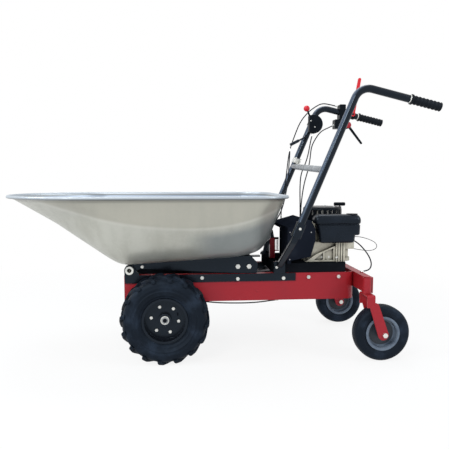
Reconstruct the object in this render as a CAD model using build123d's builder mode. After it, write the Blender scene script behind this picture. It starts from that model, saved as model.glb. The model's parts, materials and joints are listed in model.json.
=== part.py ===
from build123d import *
import os
from math import acos, atan2, cos, pi, radians, sin, sqrt, tan

os.makedirs("parts", exist_ok=True)

# A walk-behind, petrol-driven tipping cart, in millimetres.
# X runs back to the operator, Y to the operator's right, Z up. The origin is on the floor, about mid-cart.

# Fits: a turning shaft's radial clearance, and the gap between pieces that pass each other
RUN = 0.05
GAP = 0.5

# Drive wheels and axle
DRIVE_X = -195.0
DRIVE_Y = 218.0
DRIVE_R = 165.0
DRIVE_HALF = 59.0
TREAD_R = 152.0
BEAD_R = 80.0
LUGS = 16
LUG_SIZE = (26.0, 17.0, 66.0)
LUG_SLANT = 38.0
LUG_OFFSET = 30.0
WALL_RUBBER = 8.0
AXLE_R = 12.5
AXLE_END = 252.0
HUB_R = 24.0
WHEEL_BOLTS = 6
WHEEL_BOLT_CIRCLE = 51.0
WHEEL_BOLT_ANGLE = -8.0
WHEEL_BOLT_ACROSS = 11.0
DISC_FACE = 13.0

# Chassis: folded side plates that meet behind, and what hangs between them
SHEET = 4.0
FRAME_Y = 150.0
FRAME_FRONT = -351.0
FRAME_FLAT_END = 520.0
FRAME_REAR = 556.0
FRAME_BEND_R = 34.0
FRAME_BOTTOM = 210.0
FRAME_TOP = 317.0
FLANGE = 22.0
LUG_PLATE_R = 40.0
BEARING_R = 26.0
BRIDGE_X = -132.0
BRIDGE_Z = 243.0
BRIDGE_LENGTH = 90.0
STRIP_X = (-291.5, 315.0)
STRIP_Z = (287.0, 317.0)
STRIP = 4.0
STRIP_BOLTS = ((-53.0, 304.0), (86.0, 298.0), (266.0, 298.0))
PLATE_BOLTS = ((367.0, 300.0), (488.0, 300.0))
BOLT_ACROSS = 13.0
BOLT_HEAD = 6.0
BOLT_R = 4.0

# Worm gearbox and belt drive
GEARBOX_R = 60.0
GEARBOX_HALF = 44.0
WORM_X = -132.0
WORM_TOWER_R = 30.0
WORM_SHAFT_R = 10.0
BELT_Z = 272.0
BELT_HALF = 5.0
BELT_THICK = 8.0
WORM_PULLEY_R = 61.0
CRANK_PULLEY_R = 36.0
PULLEY_HALF = 10.0
GROOVE_DEPTH = 12.0
GROOVE_MOUTH = 8.0
GROOVE_FOOT = 4.5
IDLER_PIVOT = (245.0, 110.0)
IDLER_ROLLER = (170.0, 74.0)
IDLER_ROLLER_R = 18.0
IDLER_STUD_R = 6.0

# Casters
SWIVEL_X = 563.0
BEAM_X = 571.0
CASTER_Y = 266.0
CASTER_R = 106.0
CASTER_HALF = 31.0
CASTER_RIM_R = 60.0
TRAIL = 56.0
CASTER_X = SWIVEL_X + TRAIL
BEAM_Z = (256.0, 316.0)
BEAM_DEPTH = 30.0
SWIVEL_TUBE_R = 16.0
STEM_R = 10.0
CASTER_AXLE_R = 8.0
FORK_HALF = 44.0
FORK_PLATE = 5.5
FORK_CROWN = (30.0, 46.0)
FORK_CROWN_X = SWIVEL_X + 2
FORK_ARM_TOP = (SWIVEL_X + 16, 211.0)
CASTER_NUT_ACROSS = 17.0

# Tray: floor and rim of the pressed tub, its rolled edge, and the pivot that it tips about
PIVOT = (-330.0, 337.0)
PIVOT_TUBE_R = 16.0
PIVOT_BORE_R = 8.5
PIVOT_END = 164.0
EAR = 5.0
EAR_R = 20.0
BEAD_ROLL_R = 8.0
TUB_WALL = 2.5
# Each level of the tub: front end (x, z), rear end (x, z), half width, front and rear corner radius
TUB_LEVELS = (
    ((-345.0, 358.0), (142.0, 387.5), 152.0, 60.0, 95.0),
    ((-383.0, 371.5), (183.0, 407.0), 192.0, 95.0, 105.0),
    ((-471.0, 424.5), (212.0, 450.0), 246.0, 190.0, 115.0),
    ((-626.0, 516.0), (225.0, 520.0), 292.0, 282.0, 120.0),
    ((-795.0, 616.0), (261.0, 616.0), 306.0, 298.0, 115.0),
)
RAIL_Y = (110.0, 146.0)
RAIL_SHEET = 3.0
RAIL_EYE_R = 20.0
RAIL_REAR = 166.0
RAIL_SEAT = FRAME_TOP + GAP
TIE_BOLTS = ((87.0, 345.0), (131.0, 345.0))
TIE_BOLT_ACROSS = 17.0
FRONT_BOLTS = ((-282.0, 349.0),)
FRONT_BOLT_ACROSS = 11.0
TIE_X = (74.0, 144.0)
TIE_Z = (334.0, 366.0)
TONGUE_END = 196.0
TONGUE_HALF = 12.0
TONGUE_Z = (361.0, 367.0)

# Deck and tray latch
DECK_X = (172.0, 520.0)
DECK_TOP = 355.0
DECK_SHEET = 3.0
DECK_HALF = FRAME_Y - SHEET
POST = 22.0
POST_X = 248.0
POST_TOP = 410.0
LATCH_PIN_Z = 430.0
LATCH_PIN_R = 4.0
CHEEK_Y = (5.0, 9.0)
PAWL_HALF = 4.0
PAWL_NOSE = (198.0, 370.0)
SPRING_X = 269.0
SPRING_Z = (388.0, 432.0)
SPRING_COIL_R = 5.5
SPRING_WIRE_R = 0.9
SPRING_TURNS = 12

# Handles: leg line, upper run and grips
HANDLE_Y = 281.0
TUBE_R = 14.0
TUBE_WALL = 2.0
LEG_X_AT_606 = 340.0
LEG_LEAN = 0.42
LEG_FOOT_Z = 482.0
HANDLE_CORNER = (513.5, 1019.0)
HANDLE_DROP = 0.236
HANDLE_BEND_R = 55.0
HANDLE_END_X = 815.0
GRIP_START_X = 703.0
GRIP_LENGTH = 121.0
GRIP_R = 17.0
CROSS_BAR_Z = (718.0, 742.0)
CROSS_BAR_R = 12.5
BRACKET_TOP_Z = 524.0
BRACKET_KNEE_Z = 462.0
BRACKET_FOOT = (250.0, -160.0, 352.0)
COLLAR_SECTION = (32.0, 33.0)
COLLAR_LENGTH = 56.0
STRUT = 22.0
FOOT_BLOCK_X = (228.0, 272.0)
FOOT_BLOCK_TOP = 364.0
FOOT_BLOCK = 14.0

# Controls on the right-hand handle
CONTROL_Y = (252.0, 258.0)
DRIVE_LEVER_PIVOT = (670.0, 984.0)
DRIVE_LEVER_TIP = (698.0, 1143.0)
BRAKE_PIVOT = (646.0, 934.0)
BRAKE_TIP = (712.0, 851.0)
LEVER_PIN_R = 4.0
CLAMP_HALF = 20.0
# Each clamp block: x from and to, z from and to
CLAMP_BLOCKS = ((609.0, 638.0, 955.0, 1030.0), (587.0, 652.0, 918.0, 961.0))
CLAMP_SLEEVE_X = (630.0, 684.0)
CLAMP_SLEEVE_R = 17.5
THROTTLE_PIVOT = (480.0, 936.0)
THROTTLE_BOX_R = 43.0
THROTTLE_FLAT_X = 459.0
THROTTLE_BOX_Y = (234.0, 264.0)
THROTTLE_SLOT = (246.0, 252.0)
THROTTLE_HUB_R = 12.0
THROTTLE_KNOB = (449.0, 1007.0)
THROTTLE_KNOB_R = 14.0
RELEASE_PIVOT = (452.0, 880.0)
RELEASE_TIP = (375.0, 841.0)
RELEASE_Y = 257.0
RELEASE_ROD_R = 4.0
RELEASE_SLEEVE_R = 7.0
CABLE_R = 2.5
WIRE_R = 1.2

# Engine: a vertical-shaft petrol engine on the deck
ENGINE_X = 460.0
CRANK_R = 12.5
SUMP_X = (364.0, 551.0)
SUMP_HALF = 100.0
BLOCK_X = (385.0, 540.0)
BLOCK_NEAR = -105.0
BLOCK_FAR = 70.0
TANK_SEAT = 432.0
BLOCK_TOP = 452.0
CYLINDER_Z = 432.0
CYLINDER_R = 34.0
FLYWHEEL_Z = (466.0, 492.0)
FILTER_Z = (405.0, 485.0)
FILTER_SPOT = (328.0, 0.0)
FILTER_SIZE = (74.0, 140.0)
INTAKE_X = 364.0
INTAKE_SIZE = (46.0, 36.0)
INTAKE_Z = 428.0
MUFFLER_SPOT = (556.0, 424.0)
MUFFLER_R = 34.0
MUFFLER_Y = (76.0, 176.0)
EXHAUST_X = (505.0, 530.0)
EXHAUST_Y = 110.0
EXHAUST_R = 11.0
COVER_Y = (-122.0, -95.0)
COVER_OUTLINE = ((362.0, 355.0), (404.0, 385.0), (480.0, 417.0), (484.0, 417.0), (484.0, 355.0))
COVER_POCKETS = (
    ((396.0, 362.0), (432.0, 362.0), (432.0, 391.0)),
    ((440.0, 362.0), (474.0, 362.0), (474.0, 408.0), (440.0, 394.0)),
)
POCKET_DEPTH = 9.0
COLUMN_X = (484.0, 521.0)
COLUMN_NEAR = -128.0
COLUMN_GROOVES = (491.0, 501.0, 511.0)
GROOVE = 4.0
LEDGE_X = 560.0
LEDGE_NEAR = -118.0
LEDGE_Z = 405.0
CABLE_PLATE_X = (383.0, 405.0)
CABLE_PLATE_Y = (62.0, 116.0)
CABLE_PLATE_Z = (438.0, 444.0)
FIN_SIZE = 90.0
FINS = 8
FIN_PITCH = 10.0
BLOWER_R = 84.0
BLOWER_TOP = 512.0
BLOWER_WALL = 2.5
RECOIL_R = 80.0
RECOIL_TOP = 570.0
RECOIL_SLOTS = 24
RECOIL_SLOT_Z = (537.0, 558.0)
RECOIL_SLOT = 8.0
TANK_X = (391.0, 579.0)
TANK_BODY_X = 408.0
TANK_Y = (-152.0, -90.0)
TANK_TOP = 545.0
TANK_SEAM_Z = 509.0
TANK_STEP_Z = 463.0
TANK_STEP_X = 556.5
CAP_SPOT = (548.0, -121.0)
CAP_R = 22.0
GUARD_X = (279.0, 389.0)
GUARD_HALF = 165.0
GUARD_EAVE = 497.0
GUARD_RIDGE = (372.0, 523.0)
GUARD_BACK = 490.0
GUARD_CUT = ((293.0, 354.0), (293.0, 367.0), (372.0, 383.0), (389.5, 447.0), (392.0, 447.0), (392.0, 354.0))
GUARD_SHEET = 2.0
GUARD_WINDOW = ((278.0, 345.0), (0.0, 166.0), (354.0, 483.0))
ROPE_SPOT = (534.0, 0.0)
ROPE_R = 2.2
GRIP_BAR_R = 7.5
GRIP_BAR_LENGTH = 48.0


def write(piece, name):
    piece.part.label = name
    export_step(piece.part, f"parts/{name}.step")


def mirrored(piece):
    """The same piece on the other side of the cart."""
    with BuildPart() as other:
        mirror(piece.part, about=Plane.XZ)
    return other


def side_plane(y):
    """A plane along the cart, X across and Z up, at the given y; an extrusion from it goes towards -Y."""
    return Plane.XZ.offset(-y)


def wheel_plane(x, y, z):
    return Plane(origin=(x, y, z), x_dir=(1, 0, 0), z_dir=(0, -1, 0))


def cross_axis(x, z):
    """The line across the cart through a point of its side view."""
    return Axis((x, 0, z), (0, 1, 0))


def strap(start, start_r, end, end_r):
    """A bar between two round ends, drawn in the sketch at hand."""
    first, last = Vector(*start), Vector(*end)
    along = last - first
    heading = atan2(along.Y, along.X)
    lean = acos((start_r - end_r) / along.length)
    left = Vector(cos(heading + lean), sin(heading + lean))
    right = Vector(cos(heading - lean), sin(heading - lean))
    with Locations(start):
        Circle(start_r)
    with Locations(end):
        Circle(end_r)
    corners = (
        first + left * start_r,
        last + left * end_r,
        last + right * end_r,
        first + right * start_r,
    )
    Polygon(*[(corner.X, corner.Y) for corner in corners], align=None)


def leg_point(z, y):
    return Vector(LEG_X_AT_606 + LEG_LEAN * (z - 606.0), y, z)


def upper_point(x, y):
    corner_x, corner_z = HANDLE_CORNER
    return Vector(x, y, corner_z - HANDLE_DROP * (x - corner_x))


def route_radii(points, share=0.45):
    """For each corner, the largest bend that leaves its two runs room."""
    corners = [Vector(p) for p in points]
    radii = []
    for before, here, after in zip(corners, corners[1:], corners[2:]):
        turn = radians((here - before).get_angle(after - here))
        shorter = min((here - before).length, (after - here).length)
        radii.append(share * shorter / tan(turn / 2))
    return radii


def cable(name, points, radius):
    """A cable along straight runs and tangent arcs."""
    radii = route_radii(points)
    with BuildPart() as piece:
        with BuildLine() as path:
            FilletPolyline(*points, radius=radii)
        with BuildSketch(Plane(origin=path.line @ 0, z_dir=path.line % 0)):
            Circle(radius)
        sweep(path=path.line)
    length = path.wire().length
    share = piece.part.volume / (pi * radius**2 * length)
    print(f"{name}: tightest bend {min(radii):.0f}, length {length:.0f}, volume share {share:.3f}")
    return piece


# Fasteners on the chassis: hexagon heads on the strips and on the plates behind them
with BuildPart() as frame_bolts:
    for spots, face in ((STRIP_BOLTS, FRAME_Y + STRIP), (PLATE_BOLTS, FRAME_Y)):
        with BuildSketch(side_plane(-face)):
            with Locations(*spots):
                RegularPolygon(BOLT_ACROSS / 2, 6, major_radius=False)
        extrude(amount=BOLT_HEAD)
        with BuildSketch(side_plane(-face)):
            with Locations(*spots):
                Circle(BOLT_R)
        extrude(amount=-(face - FRAME_Y + 2 * SHEET))
    mirror(about=Plane.XZ)
write(frame_bolts, "frame_bolts")

# Side plates: one folded strip a side, turned in behind, with a hanger for the axle bearing
with BuildPart() as left_side_plate:
    with BuildSketch(Plane.XY.offset(FRAME_BOTTOM)):
        with BuildLine():
            FilletPolyline(
                (FRAME_FRONT, -FRAME_Y + SHEET / 2),
                (FRAME_REAR - SHEET / 2, -FRAME_Y + SHEET / 2),
                (FRAME_REAR - SHEET / 2, 0),
                radius=FRAME_BEND_R,
            )
        trace(line_width=SHEET)
    extrude(amount=FRAME_TOP - FRAME_BOTTOM)
    for start, level in ((PIVOT[0] + 32, FRAME_TOP - SHEET), (-60.0, FRAME_BOTTOM)):
        with BuildSketch(Plane.XY.offset(level)):
            with Locations((start, -FRAME_Y + SHEET)):
                Rectangle(FRAME_FLAT_END - start, FLANGE, align=(Align.MIN, Align.MIN))
        extrude(amount=SHEET)
    with BuildSketch(side_plane(-FRAME_Y + SHEET)):
        with Locations((DRIVE_X, DRIVE_R)):
            Circle(LUG_PLATE_R)
        with Locations((DRIVE_X, FRAME_BOTTOM + 10)):
            Rectangle(160, 20)
        make_hull()
    extrude(amount=SHEET)
    with BuildSketch(side_plane(-FRAME_Y + SHEET)):
        with Locations((DRIVE_X, DRIVE_R)):
            Circle(BEARING_R)
    extrude(amount=SHEET, mode=Mode.SUBTRACT)
    add(frame_bolts.part, mode=Mode.SUBTRACT)
write(left_side_plate, "left_side_plate")
write(mirrored(left_side_plate), "right_side_plate")

# Front cross plate between the side plates
with BuildPart() as front_cross_plate:
    with BuildSketch(Plane.YZ.offset(FRAME_FRONT)):
        with Locations((0, (FRAME_BOTTOM + FRAME_TOP - SHEET) / 2)):
            Rectangle(2 * (FRAME_Y - SHEET), FRAME_TOP - SHEET - FRAME_BOTTOM)
    extrude(amount=SHEET)
write(front_cross_plate, "front_cross_plate")

# Axle bearings: flanged units seated in the hangers
with BuildPart() as axle_bearings:
    with BuildSketch(side_plane(-FRAME_Y + SHEET)):
        with Locations((DRIVE_X, DRIVE_R)):
            Circle(BEARING_R)
    extrude(amount=SHEET)
    with BuildSketch(side_plane(-FRAME_Y + SHEET)):
        with Locations((DRIVE_X, DRIVE_R)):
            Circle(LUG_PLATE_R - 4)
    extrude(amount=-9)
    with BuildSketch(side_plane(-FRAME_Y + SHEET + 9)):
        with Locations((DRIVE_X, DRIVE_R)):
            Circle(AXLE_R + RUN)
    extrude(amount=SHEET + 9, mode=Mode.SUBTRACT)
    mirror(about=Plane.XZ)
write(axle_bearings, "axle_bearings")

# Gearbox bridge: a channel across the frame that the gearbox hangs from
with BuildPart() as gearbox_bridge:
    with BuildSketch(side_plane(FRAME_Y - SHEET)):
        with Locations((BRIDGE_X, BRIDGE_Z)):
            Rectangle(BRIDGE_LENGTH, 20, align=(Align.CENTER, Align.MIN))
        with Locations((BRIDGE_X, BRIDGE_Z + SHEET)):
            Rectangle(BRIDGE_LENGTH - 2 * SHEET, 20, align=(Align.CENTER, Align.MIN), mode=Mode.SUBTRACT)
    extrude(amount=2 * (FRAME_Y - SHEET))
    with BuildSketch(Plane.XY.offset(BRIDGE_Z)):
        with Locations((WORM_X, 0)):
            Circle(WORM_SHAFT_R + 6)
    extrude(amount=SHEET, mode=Mode.SUBTRACT)
    with BuildSketch(Plane.XY.offset(BRIDGE_Z + SHEET)):
        with Locations((WORM_X, 0)):
            Rectangle(BRIDGE_LENGTH, 2 * WORM_PULLEY_R + 10)
    extrude(amount=20, mode=Mode.SUBTRACT)
write(gearbox_bridge, "gearbox_bridge")

# Worm gearbox: round case on the axle, tower for the upright worm
with BuildPart() as gearbox_housing:
    with BuildSketch(side_plane(GEARBOX_HALF)):
        with Locations((DRIVE_X, DRIVE_R)):
            Circle(GEARBOX_R)
    extrude(amount=2 * GEARBOX_HALF)
    chamfer(gearbox_housing.edges().filter_by(GeomType.CIRCLE), 10)
    with BuildSketch(Plane.XY.offset(DRIVE_R - 65)):
        with Locations((WORM_X, 0)):
            Circle(WORM_TOWER_R)
    extrude(amount=BRIDGE_Z - DRIVE_R + 65)
    with BuildSketch(side_plane(GEARBOX_HALF + 14)):
        with Locations((DRIVE_X, DRIVE_R)):
            Circle(AXLE_R + 12)
    extrude(amount=2 * GEARBOX_HALF + 28)
    with BuildSketch(side_plane(GEARBOX_HALF + 14)):
        with Locations((DRIVE_X, DRIVE_R)):
            Circle(AXLE_R + RUN)
    extrude(amount=2 * GEARBOX_HALF + 28, mode=Mode.SUBTRACT)
    with BuildSketch(Plane.XY.offset(BRIDGE_Z)):
        with Locations((WORM_X, 0)):
            Circle(WORM_SHAFT_R + RUN)
    extrude(amount=-40, mode=Mode.SUBTRACT)
write(gearbox_housing, "gearbox_housing")


def pulley_profile(x, outer):
    """Half section of a grooved pulley about an upright shaft, on the plane Y = 0."""
    with BuildSketch(Plane.XZ) as profile:
        with BuildLine():
            Polyline(
                (x, BELT_Z - PULLEY_HALF),
                (x + outer, BELT_Z - PULLEY_HALF),
                (x + outer, BELT_Z - GROOVE_MOUTH),
                (x + outer - GROOVE_DEPTH, BELT_Z - GROOVE_FOOT),
                (x + outer - GROOVE_DEPTH, BELT_Z + GROOVE_FOOT),
                (x + outer, BELT_Z + GROOVE_MOUTH),
                (x + outer, BELT_Z + PULLEY_HALF),
                (x, BELT_Z + PULLEY_HALF),
                close=True,
            )
        make_face()
    return profile.sketch


# Worm shaft with its pulley
with BuildPart() as worm_pulley:
    add(pulley_profile(WORM_X, WORM_PULLEY_R))
    revolve(axis=Axis((WORM_X, 0, 0), (0, 0, 1)))
    with BuildSketch(Plane.XY.offset(BRIDGE_Z - 38)):
        with Locations((WORM_X, 0)):
            Circle(WORM_SHAFT_R)
    extrude(amount=BELT_Z + PULLEY_HALF + 8 - BRIDGE_Z + 38)
write(worm_pulley, "worm_pulley")

# Crankshaft with its belt pulley
with BuildPart() as crankshaft:
    add(pulley_profile(ENGINE_X, CRANK_PULLEY_R))
    revolve(axis=Axis((ENGINE_X, 0, 0), (0, 0, 1)))
    with BuildSketch(Plane.XY.offset(BELT_Z - PULLEY_HALF - 6)):
        with Locations((ENGINE_X, 0)):
            Circle(CRANK_R)
    extrude(amount=FLYWHEEL_Z[0] + 4 - BELT_Z + PULLEY_HALF + 6)
    with BuildSketch(Plane.XY.offset(FLYWHEEL_Z[0])):
        with Locations((ENGINE_X, 0)):
            Circle(BLOWER_R - 12)
    extrude(amount=FLYWHEEL_Z[1] - FLYWHEEL_Z[0])
write(crankshaft, "crankshaft")

# Drive belt round the two pulleys
with BuildPart() as drive_belt:
    for depth, mode in ((1, Mode.ADD), (1 + BELT_THICK, Mode.SUBTRACT)):
        with BuildSketch(Plane.XY.offset(BELT_Z - BELT_HALF)):
            strap((WORM_X, 0), WORM_PULLEY_R - depth, (ENGINE_X, 0), CRANK_PULLEY_R - depth)
        extrude(amount=2 * BELT_HALF, mode=mode)
write(drive_belt, "drive_belt")

# Belt idler: an arm on a stud under the deck, with a roller beside the belt
with BuildPart() as idler_arm:
    with BuildSketch(Plane.XY.offset(BELT_Z + 12)):
        strap(IDLER_PIVOT, 15, IDLER_ROLLER, 11)
    extrude(amount=6)
    with BuildSketch(Plane.XY.offset(BELT_Z + 12)):
        with Locations(IDLER_PIVOT):
            Circle(12)
    extrude(amount=22)
    with BuildSketch(Plane.XY.offset(BELT_Z + 12)):
        with Locations(IDLER_ROLLER):
            Circle(IDLER_ROLLER_R - 10)
    extrude(amount=-3)
    with BuildSketch(Plane.XY.offset(BELT_Z + 9)):
        with Locations(IDLER_ROLLER):
            Circle(IDLER_ROLLER_R)
    extrude(amount=-18)
    with BuildSketch(Plane.XY.offset(BELT_Z)):
        with Locations(IDLER_PIVOT):
            Circle(IDLER_STUD_R + RUN)
    extrude(amount=60, mode=Mode.SUBTRACT)
write(idler_arm, "idler_arm")

# Deck: folded plate on the side plates, with the idler's stud under it
with BuildPart() as engine_deck:
    with BuildSketch(Plane.XY.offset(FRAME_TOP)):
        with Locations(((DECK_X[0] + DECK_X[1]) / 2, 0)):
            RectangleRounded(DECK_X[1] - DECK_X[0], 2 * (FRAME_Y - SHEET), 10)
    extrude(amount=DECK_TOP - FRAME_TOP)
    underside = engine_deck.faces().sort_by(Axis.Z)[0]
    offset(amount=-DECK_SHEET, openings=underside)
    with BuildSketch(Plane.XY.offset(DECK_TOP)):
        with Locations((ENGINE_X, 0)):
            Circle(CRANK_R + 8)
    extrude(amount=-DECK_SHEET, mode=Mode.SUBTRACT)
    with BuildSketch(Plane.XY.offset(DECK_TOP - DECK_SHEET)):
        with Locations(IDLER_PIVOT):
            Circle(IDLER_STUD_R)
    extrude(amount=-(DECK_TOP - DECK_SHEET - BELT_Z - 4))
    with BuildSketch(Plane.XY.offset(DECK_TOP - DECK_SHEET)):
        with Locations(IDLER_PIVOT):
            Circle(12)
    extrude(amount=-(DECK_TOP - DECK_SHEET - BELT_Z - 35))
write(engine_deck, "engine_deck")

# Side strips: flat bars along the upper edge of the side plates
with BuildPart() as side_strips:
    with BuildSketch(side_plane(-FRAME_Y)):
        with Locations((STRIP_X[0], STRIP_Z[0])):
            Rectangle(STRIP_X[1] - STRIP_X[0], STRIP_Z[1] - STRIP_Z[0], align=(Align.MIN, Align.MIN))
    extrude(amount=STRIP)
    mirror(about=Plane.XZ)
    add(frame_bolts.part, mode=Mode.SUBTRACT)
write(side_strips, "side_strips")

# Caster beam: a box section behind the frame, with an upright swivel tube at each end
with BuildPart() as caster_beam:
    beam_height = BEAM_Z[1] - BEAM_Z[0]
    with BuildSketch(Plane.XZ.offset(-CASTER_Y)):
        with Locations((BEAM_X, (BEAM_Z[0] + BEAM_Z[1]) / 2)):
            Rectangle(BEAM_DEPTH, beam_height)
            Rectangle(BEAM_DEPTH - 2 * SHEET, beam_height - 2 * SHEET, mode=Mode.SUBTRACT)
    extrude(amount=2 * CASTER_Y)
    with BuildSketch(Plane.XY.offset(BEAM_Z[0])):
        with Locations((SWIVEL_X, -CASTER_Y), (SWIVEL_X, CASTER_Y)):
            Circle(SWIVEL_TUBE_R)
    extrude(amount=beam_height)
    with BuildSketch(Plane.XY.offset(BEAM_Z[0])):
        with Locations((SWIVEL_X, -CASTER_Y), (SWIVEL_X, CASTER_Y)):
            Circle(STEM_R + RUN)
    extrude(amount=beam_height, mode=Mode.SUBTRACT)
write(caster_beam, "caster_beam")

# Tray pivot: an ear on each side plate and a thick tube through both
with BuildPart() as pivot_ears:
    with BuildSketch(side_plane(-FRAME_Y)):
        with Locations(PIVOT):
            Circle(EAR_R)
        with Locations((FRAME_FRONT + 31, FRAME_TOP - 16)):
            Rectangle(56, 30)
        make_hull()
        with Locations(PIVOT):
            Circle(PIVOT_TUBE_R, mode=Mode.SUBTRACT)
    extrude(amount=EAR)
    mirror(about=Plane.XZ)
write(pivot_ears, "pivot_ears")

with BuildPart() as pivot_tube:
    with BuildSketch(side_plane(PIVOT_END)):
        with Locations(PIVOT):
            Circle(PIVOT_TUBE_R)
            Circle(PIVOT_BORE_R, mode=Mode.SUBTRACT)
    extrude(amount=2 * PIVOT_END)
write(pivot_tube, "pivot_tube")


# Tray: the pressed tub
def tub_outline(level, inset, lift):
    """Plan outline of the tub at one level, drawn on the plane through its two ends."""
    (front_x, front_z), (rear_x, rear_z), half, front_r, rear_r = level
    front = Vector(front_x + inset, 0, front_z + lift)
    rear = Vector(rear_x - inset, 0, rear_z + lift)
    along = rear - front
    plane = Plane(origin=(front + rear) / 2, x_dir=along, z_dir=Vector(0, 1, 0).cross(along) * -1)
    with BuildSketch(plane) as outline:
        Rectangle(along.length, 2 * (half - inset))
        ends = outline.vertices().group_by(Axis.X)
        fillet(ends[0], front_r)
        ends = outline.vertices().group_by(Axis.X)
        fillet(ends[-1], rear_r)
    return outline.sketch


with BuildPart() as tray_tub:
    for level in TUB_LEVELS:
        add(tub_outline(level, 0, 0))
    loft(ruled=True)
    for level in TUB_LEVELS[:-1]:
        add(tub_outline(level, TUB_WALL, TUB_WALL))
    add(tub_outline(TUB_LEVELS[-1], TUB_WALL, 1.0))
    loft(ruled=True, mode=Mode.SUBTRACT)
    roll = tub_outline(TUB_LEVELS[-1], -(BEAD_ROLL_R - 2), 0).faces()[0].outer_wire()
    with BuildSketch(Plane(origin=roll @ 0, z_dir=roll % 0)):
        Circle(BEAD_ROLL_R)
    sweep(path=roll)
write(tray_tub, "tray_tub")

# Tray rails: wedge-shaped channels under the floor that carry the tub to the pivot
def floor_z(x):
    """Height of the tub's floor along the cart."""
    (front_x, front_z), (rear_x, rear_z) = TUB_LEVELS[0][:2]
    return front_z + (rear_z - front_z) * (x - front_x) / (rear_x - front_x)


# Bolts in the rails: two a side hold the cross tie, a smaller one is by the pivot
with BuildPart() as tray_bolts:
    for spots, head in ((TIE_BOLTS, TIE_BOLT_ACROSS), (FRONT_BOLTS, FRONT_BOLT_ACROSS)):
        with BuildSketch(side_plane(-RAIL_Y[1])):
            with Locations(*spots):
                RegularPolygon(head / 2, 6, major_radius=False)
        extrude(amount=BOLT_HEAD)
        with BuildSketch(side_plane(-RAIL_Y[1])):
            with Locations(*spots):
                Circle(BOLT_R)
        extrude(amount=-RAIL_SHEET - 8)
    mirror(about=Plane.XZ)
write(tray_bolts, "tray_bolts")

with BuildPart() as tray_rails:
    with BuildSketch(side_plane(-RAIL_Y[0])) as wedge:
        with BuildLine():
            Polyline(
                (PIVOT[0], floor_z(PIVOT[0]) - GAP / 5),
                (RAIL_REAR - 28, floor_z(RAIL_REAR - 28) - GAP / 5),
                (RAIL_REAR, floor_z(RAIL_REAR) - 32),
                (RAIL_REAR - 4, RAIL_SEAT),
                (RAIL_REAR - 60, RAIL_SEAT),
                (PIVOT[0] + 40, PIVOT[1] + 4),
                (PIVOT[0], PIVOT[1] - RAIL_EYE_R),
                close=True,
            )
        make_face()
        with Locations(PIVOT):
            Circle(RAIL_EYE_R)
    extrude(amount=RAIL_Y[1] - RAIL_Y[0])
    with BuildSketch(side_plane(-RAIL_Y[0])):
        with BuildLine():
            Polyline(
                (PIVOT[0] + 44, floor_z(PIVOT[0] + 44) - RAIL_SHEET),
                (RAIL_REAR - 30, floor_z(RAIL_REAR - 30) - RAIL_SHEET),
                (RAIL_REAR - RAIL_SHEET, floor_z(RAIL_REAR) - 33),
                (RAIL_REAR - RAIL_SHEET - 4, RAIL_SEAT + RAIL_SHEET),
                (RAIL_REAR - 59, RAIL_SEAT + RAIL_SHEET),
                (PIVOT[0] + 44, PIVOT[1] + 8),
                close=True,
            )
        make_face()
    extrude(amount=RAIL_Y[1] - RAIL_Y[0] - RAIL_SHEET, mode=Mode.SUBTRACT)
    with BuildSketch(side_plane(-RAIL_Y[0])):
        with Locations(PIVOT):
            Circle(PIVOT_TUBE_R + RUN)
    extrude(amount=RAIL_Y[1] - RAIL_Y[0], mode=Mode.SUBTRACT)
    mirror(about=Plane.XZ)
    add(tray_bolts.part, mode=Mode.SUBTRACT)
write(tray_rails, "tray_rails")

# Cross tie between the rails, with the tongue that the latch catches
with BuildPart() as tray_tie:
    tie_half = RAIL_Y[1] - RAIL_SHEET
    with BuildSketch(side_plane(tie_half)):
        with Locations((TIE_X[0], TIE_Z[0])):
            Rectangle(TIE_X[1] - TIE_X[0], TIE_Z[1] - TIE_Z[0], align=(Align.MIN, Align.MIN))
        with Locations((TIE_X[0] + SHEET, TIE_Z[0])):
            Rectangle(
                TIE_X[1] - TIE_X[0] - 2 * SHEET,
                TIE_Z[1] - TIE_Z[0] - SHEET,
                align=(Align.MIN, Align.MIN),
                mode=Mode.SUBTRACT,
            )
    extrude(amount=2 * tie_half)
    for side in (-1, 1):
        with BuildSketch(side_plane(side * tie_half + (8 if side < 0 else 0))):
            with Locations((TIE_X[0], TIE_Z[0])):
                Rectangle(TIE_X[1] - TIE_X[0], TIE_Z[1] - TIE_Z[0], align=(Align.MIN, Align.MIN))
        extrude(amount=8)
    with BuildSketch(Plane.XY.offset(TONGUE_Z[0])):
        with Locations((TIE_X[1] - 6, 0)):
            Rectangle(TONGUE_END - TIE_X[1] + 6, 2 * TONGUE_HALF, align=(Align.MIN, Align.CENTER))
    extrude(amount=TONGUE_Z[1] - TONGUE_Z[0])
    add(tray_bolts.part, mode=Mode.SUBTRACT)
write(tray_tie, "tray_tie")

# Latch: post with cheeks and a fixed pin
with BuildPart() as latch_post:
    with BuildSketch(Plane.XY.offset(DECK_TOP)):
        with Locations((POST_X, 0)):
            Rectangle(POST, POST)
    extrude(amount=POST_TOP - DECK_TOP)
    for low, high in (CHEEK_Y, (-CHEEK_Y[1], -CHEEK_Y[0])):
        with BuildSketch(side_plane(high)):
            with Locations((POST_X, LATCH_PIN_Z)):
                Circle(POST / 2)
            with Locations((POST_X, POST_TOP)):
                Rectangle(POST, 4)
            make_hull()
        extrude(amount=high - low)
    with BuildSketch(side_plane(CHEEK_Y[0])):
        with Locations((POST_X, LATCH_PIN_Z)):
            Circle(LATCH_PIN_R)
    extrude(amount=2 * CHEEK_Y[0])
    with BuildSketch(Plane.XY.offset(SPRING_Z[0])):
        with Locations((POST_X + POST / 2, 0)):
            Rectangle(SPRING_X + 7 - POST_X - POST / 2, 10, align=(Align.MIN, Align.CENTER))
    extrude(amount=-4)
write(latch_post, "latch_post")

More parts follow.
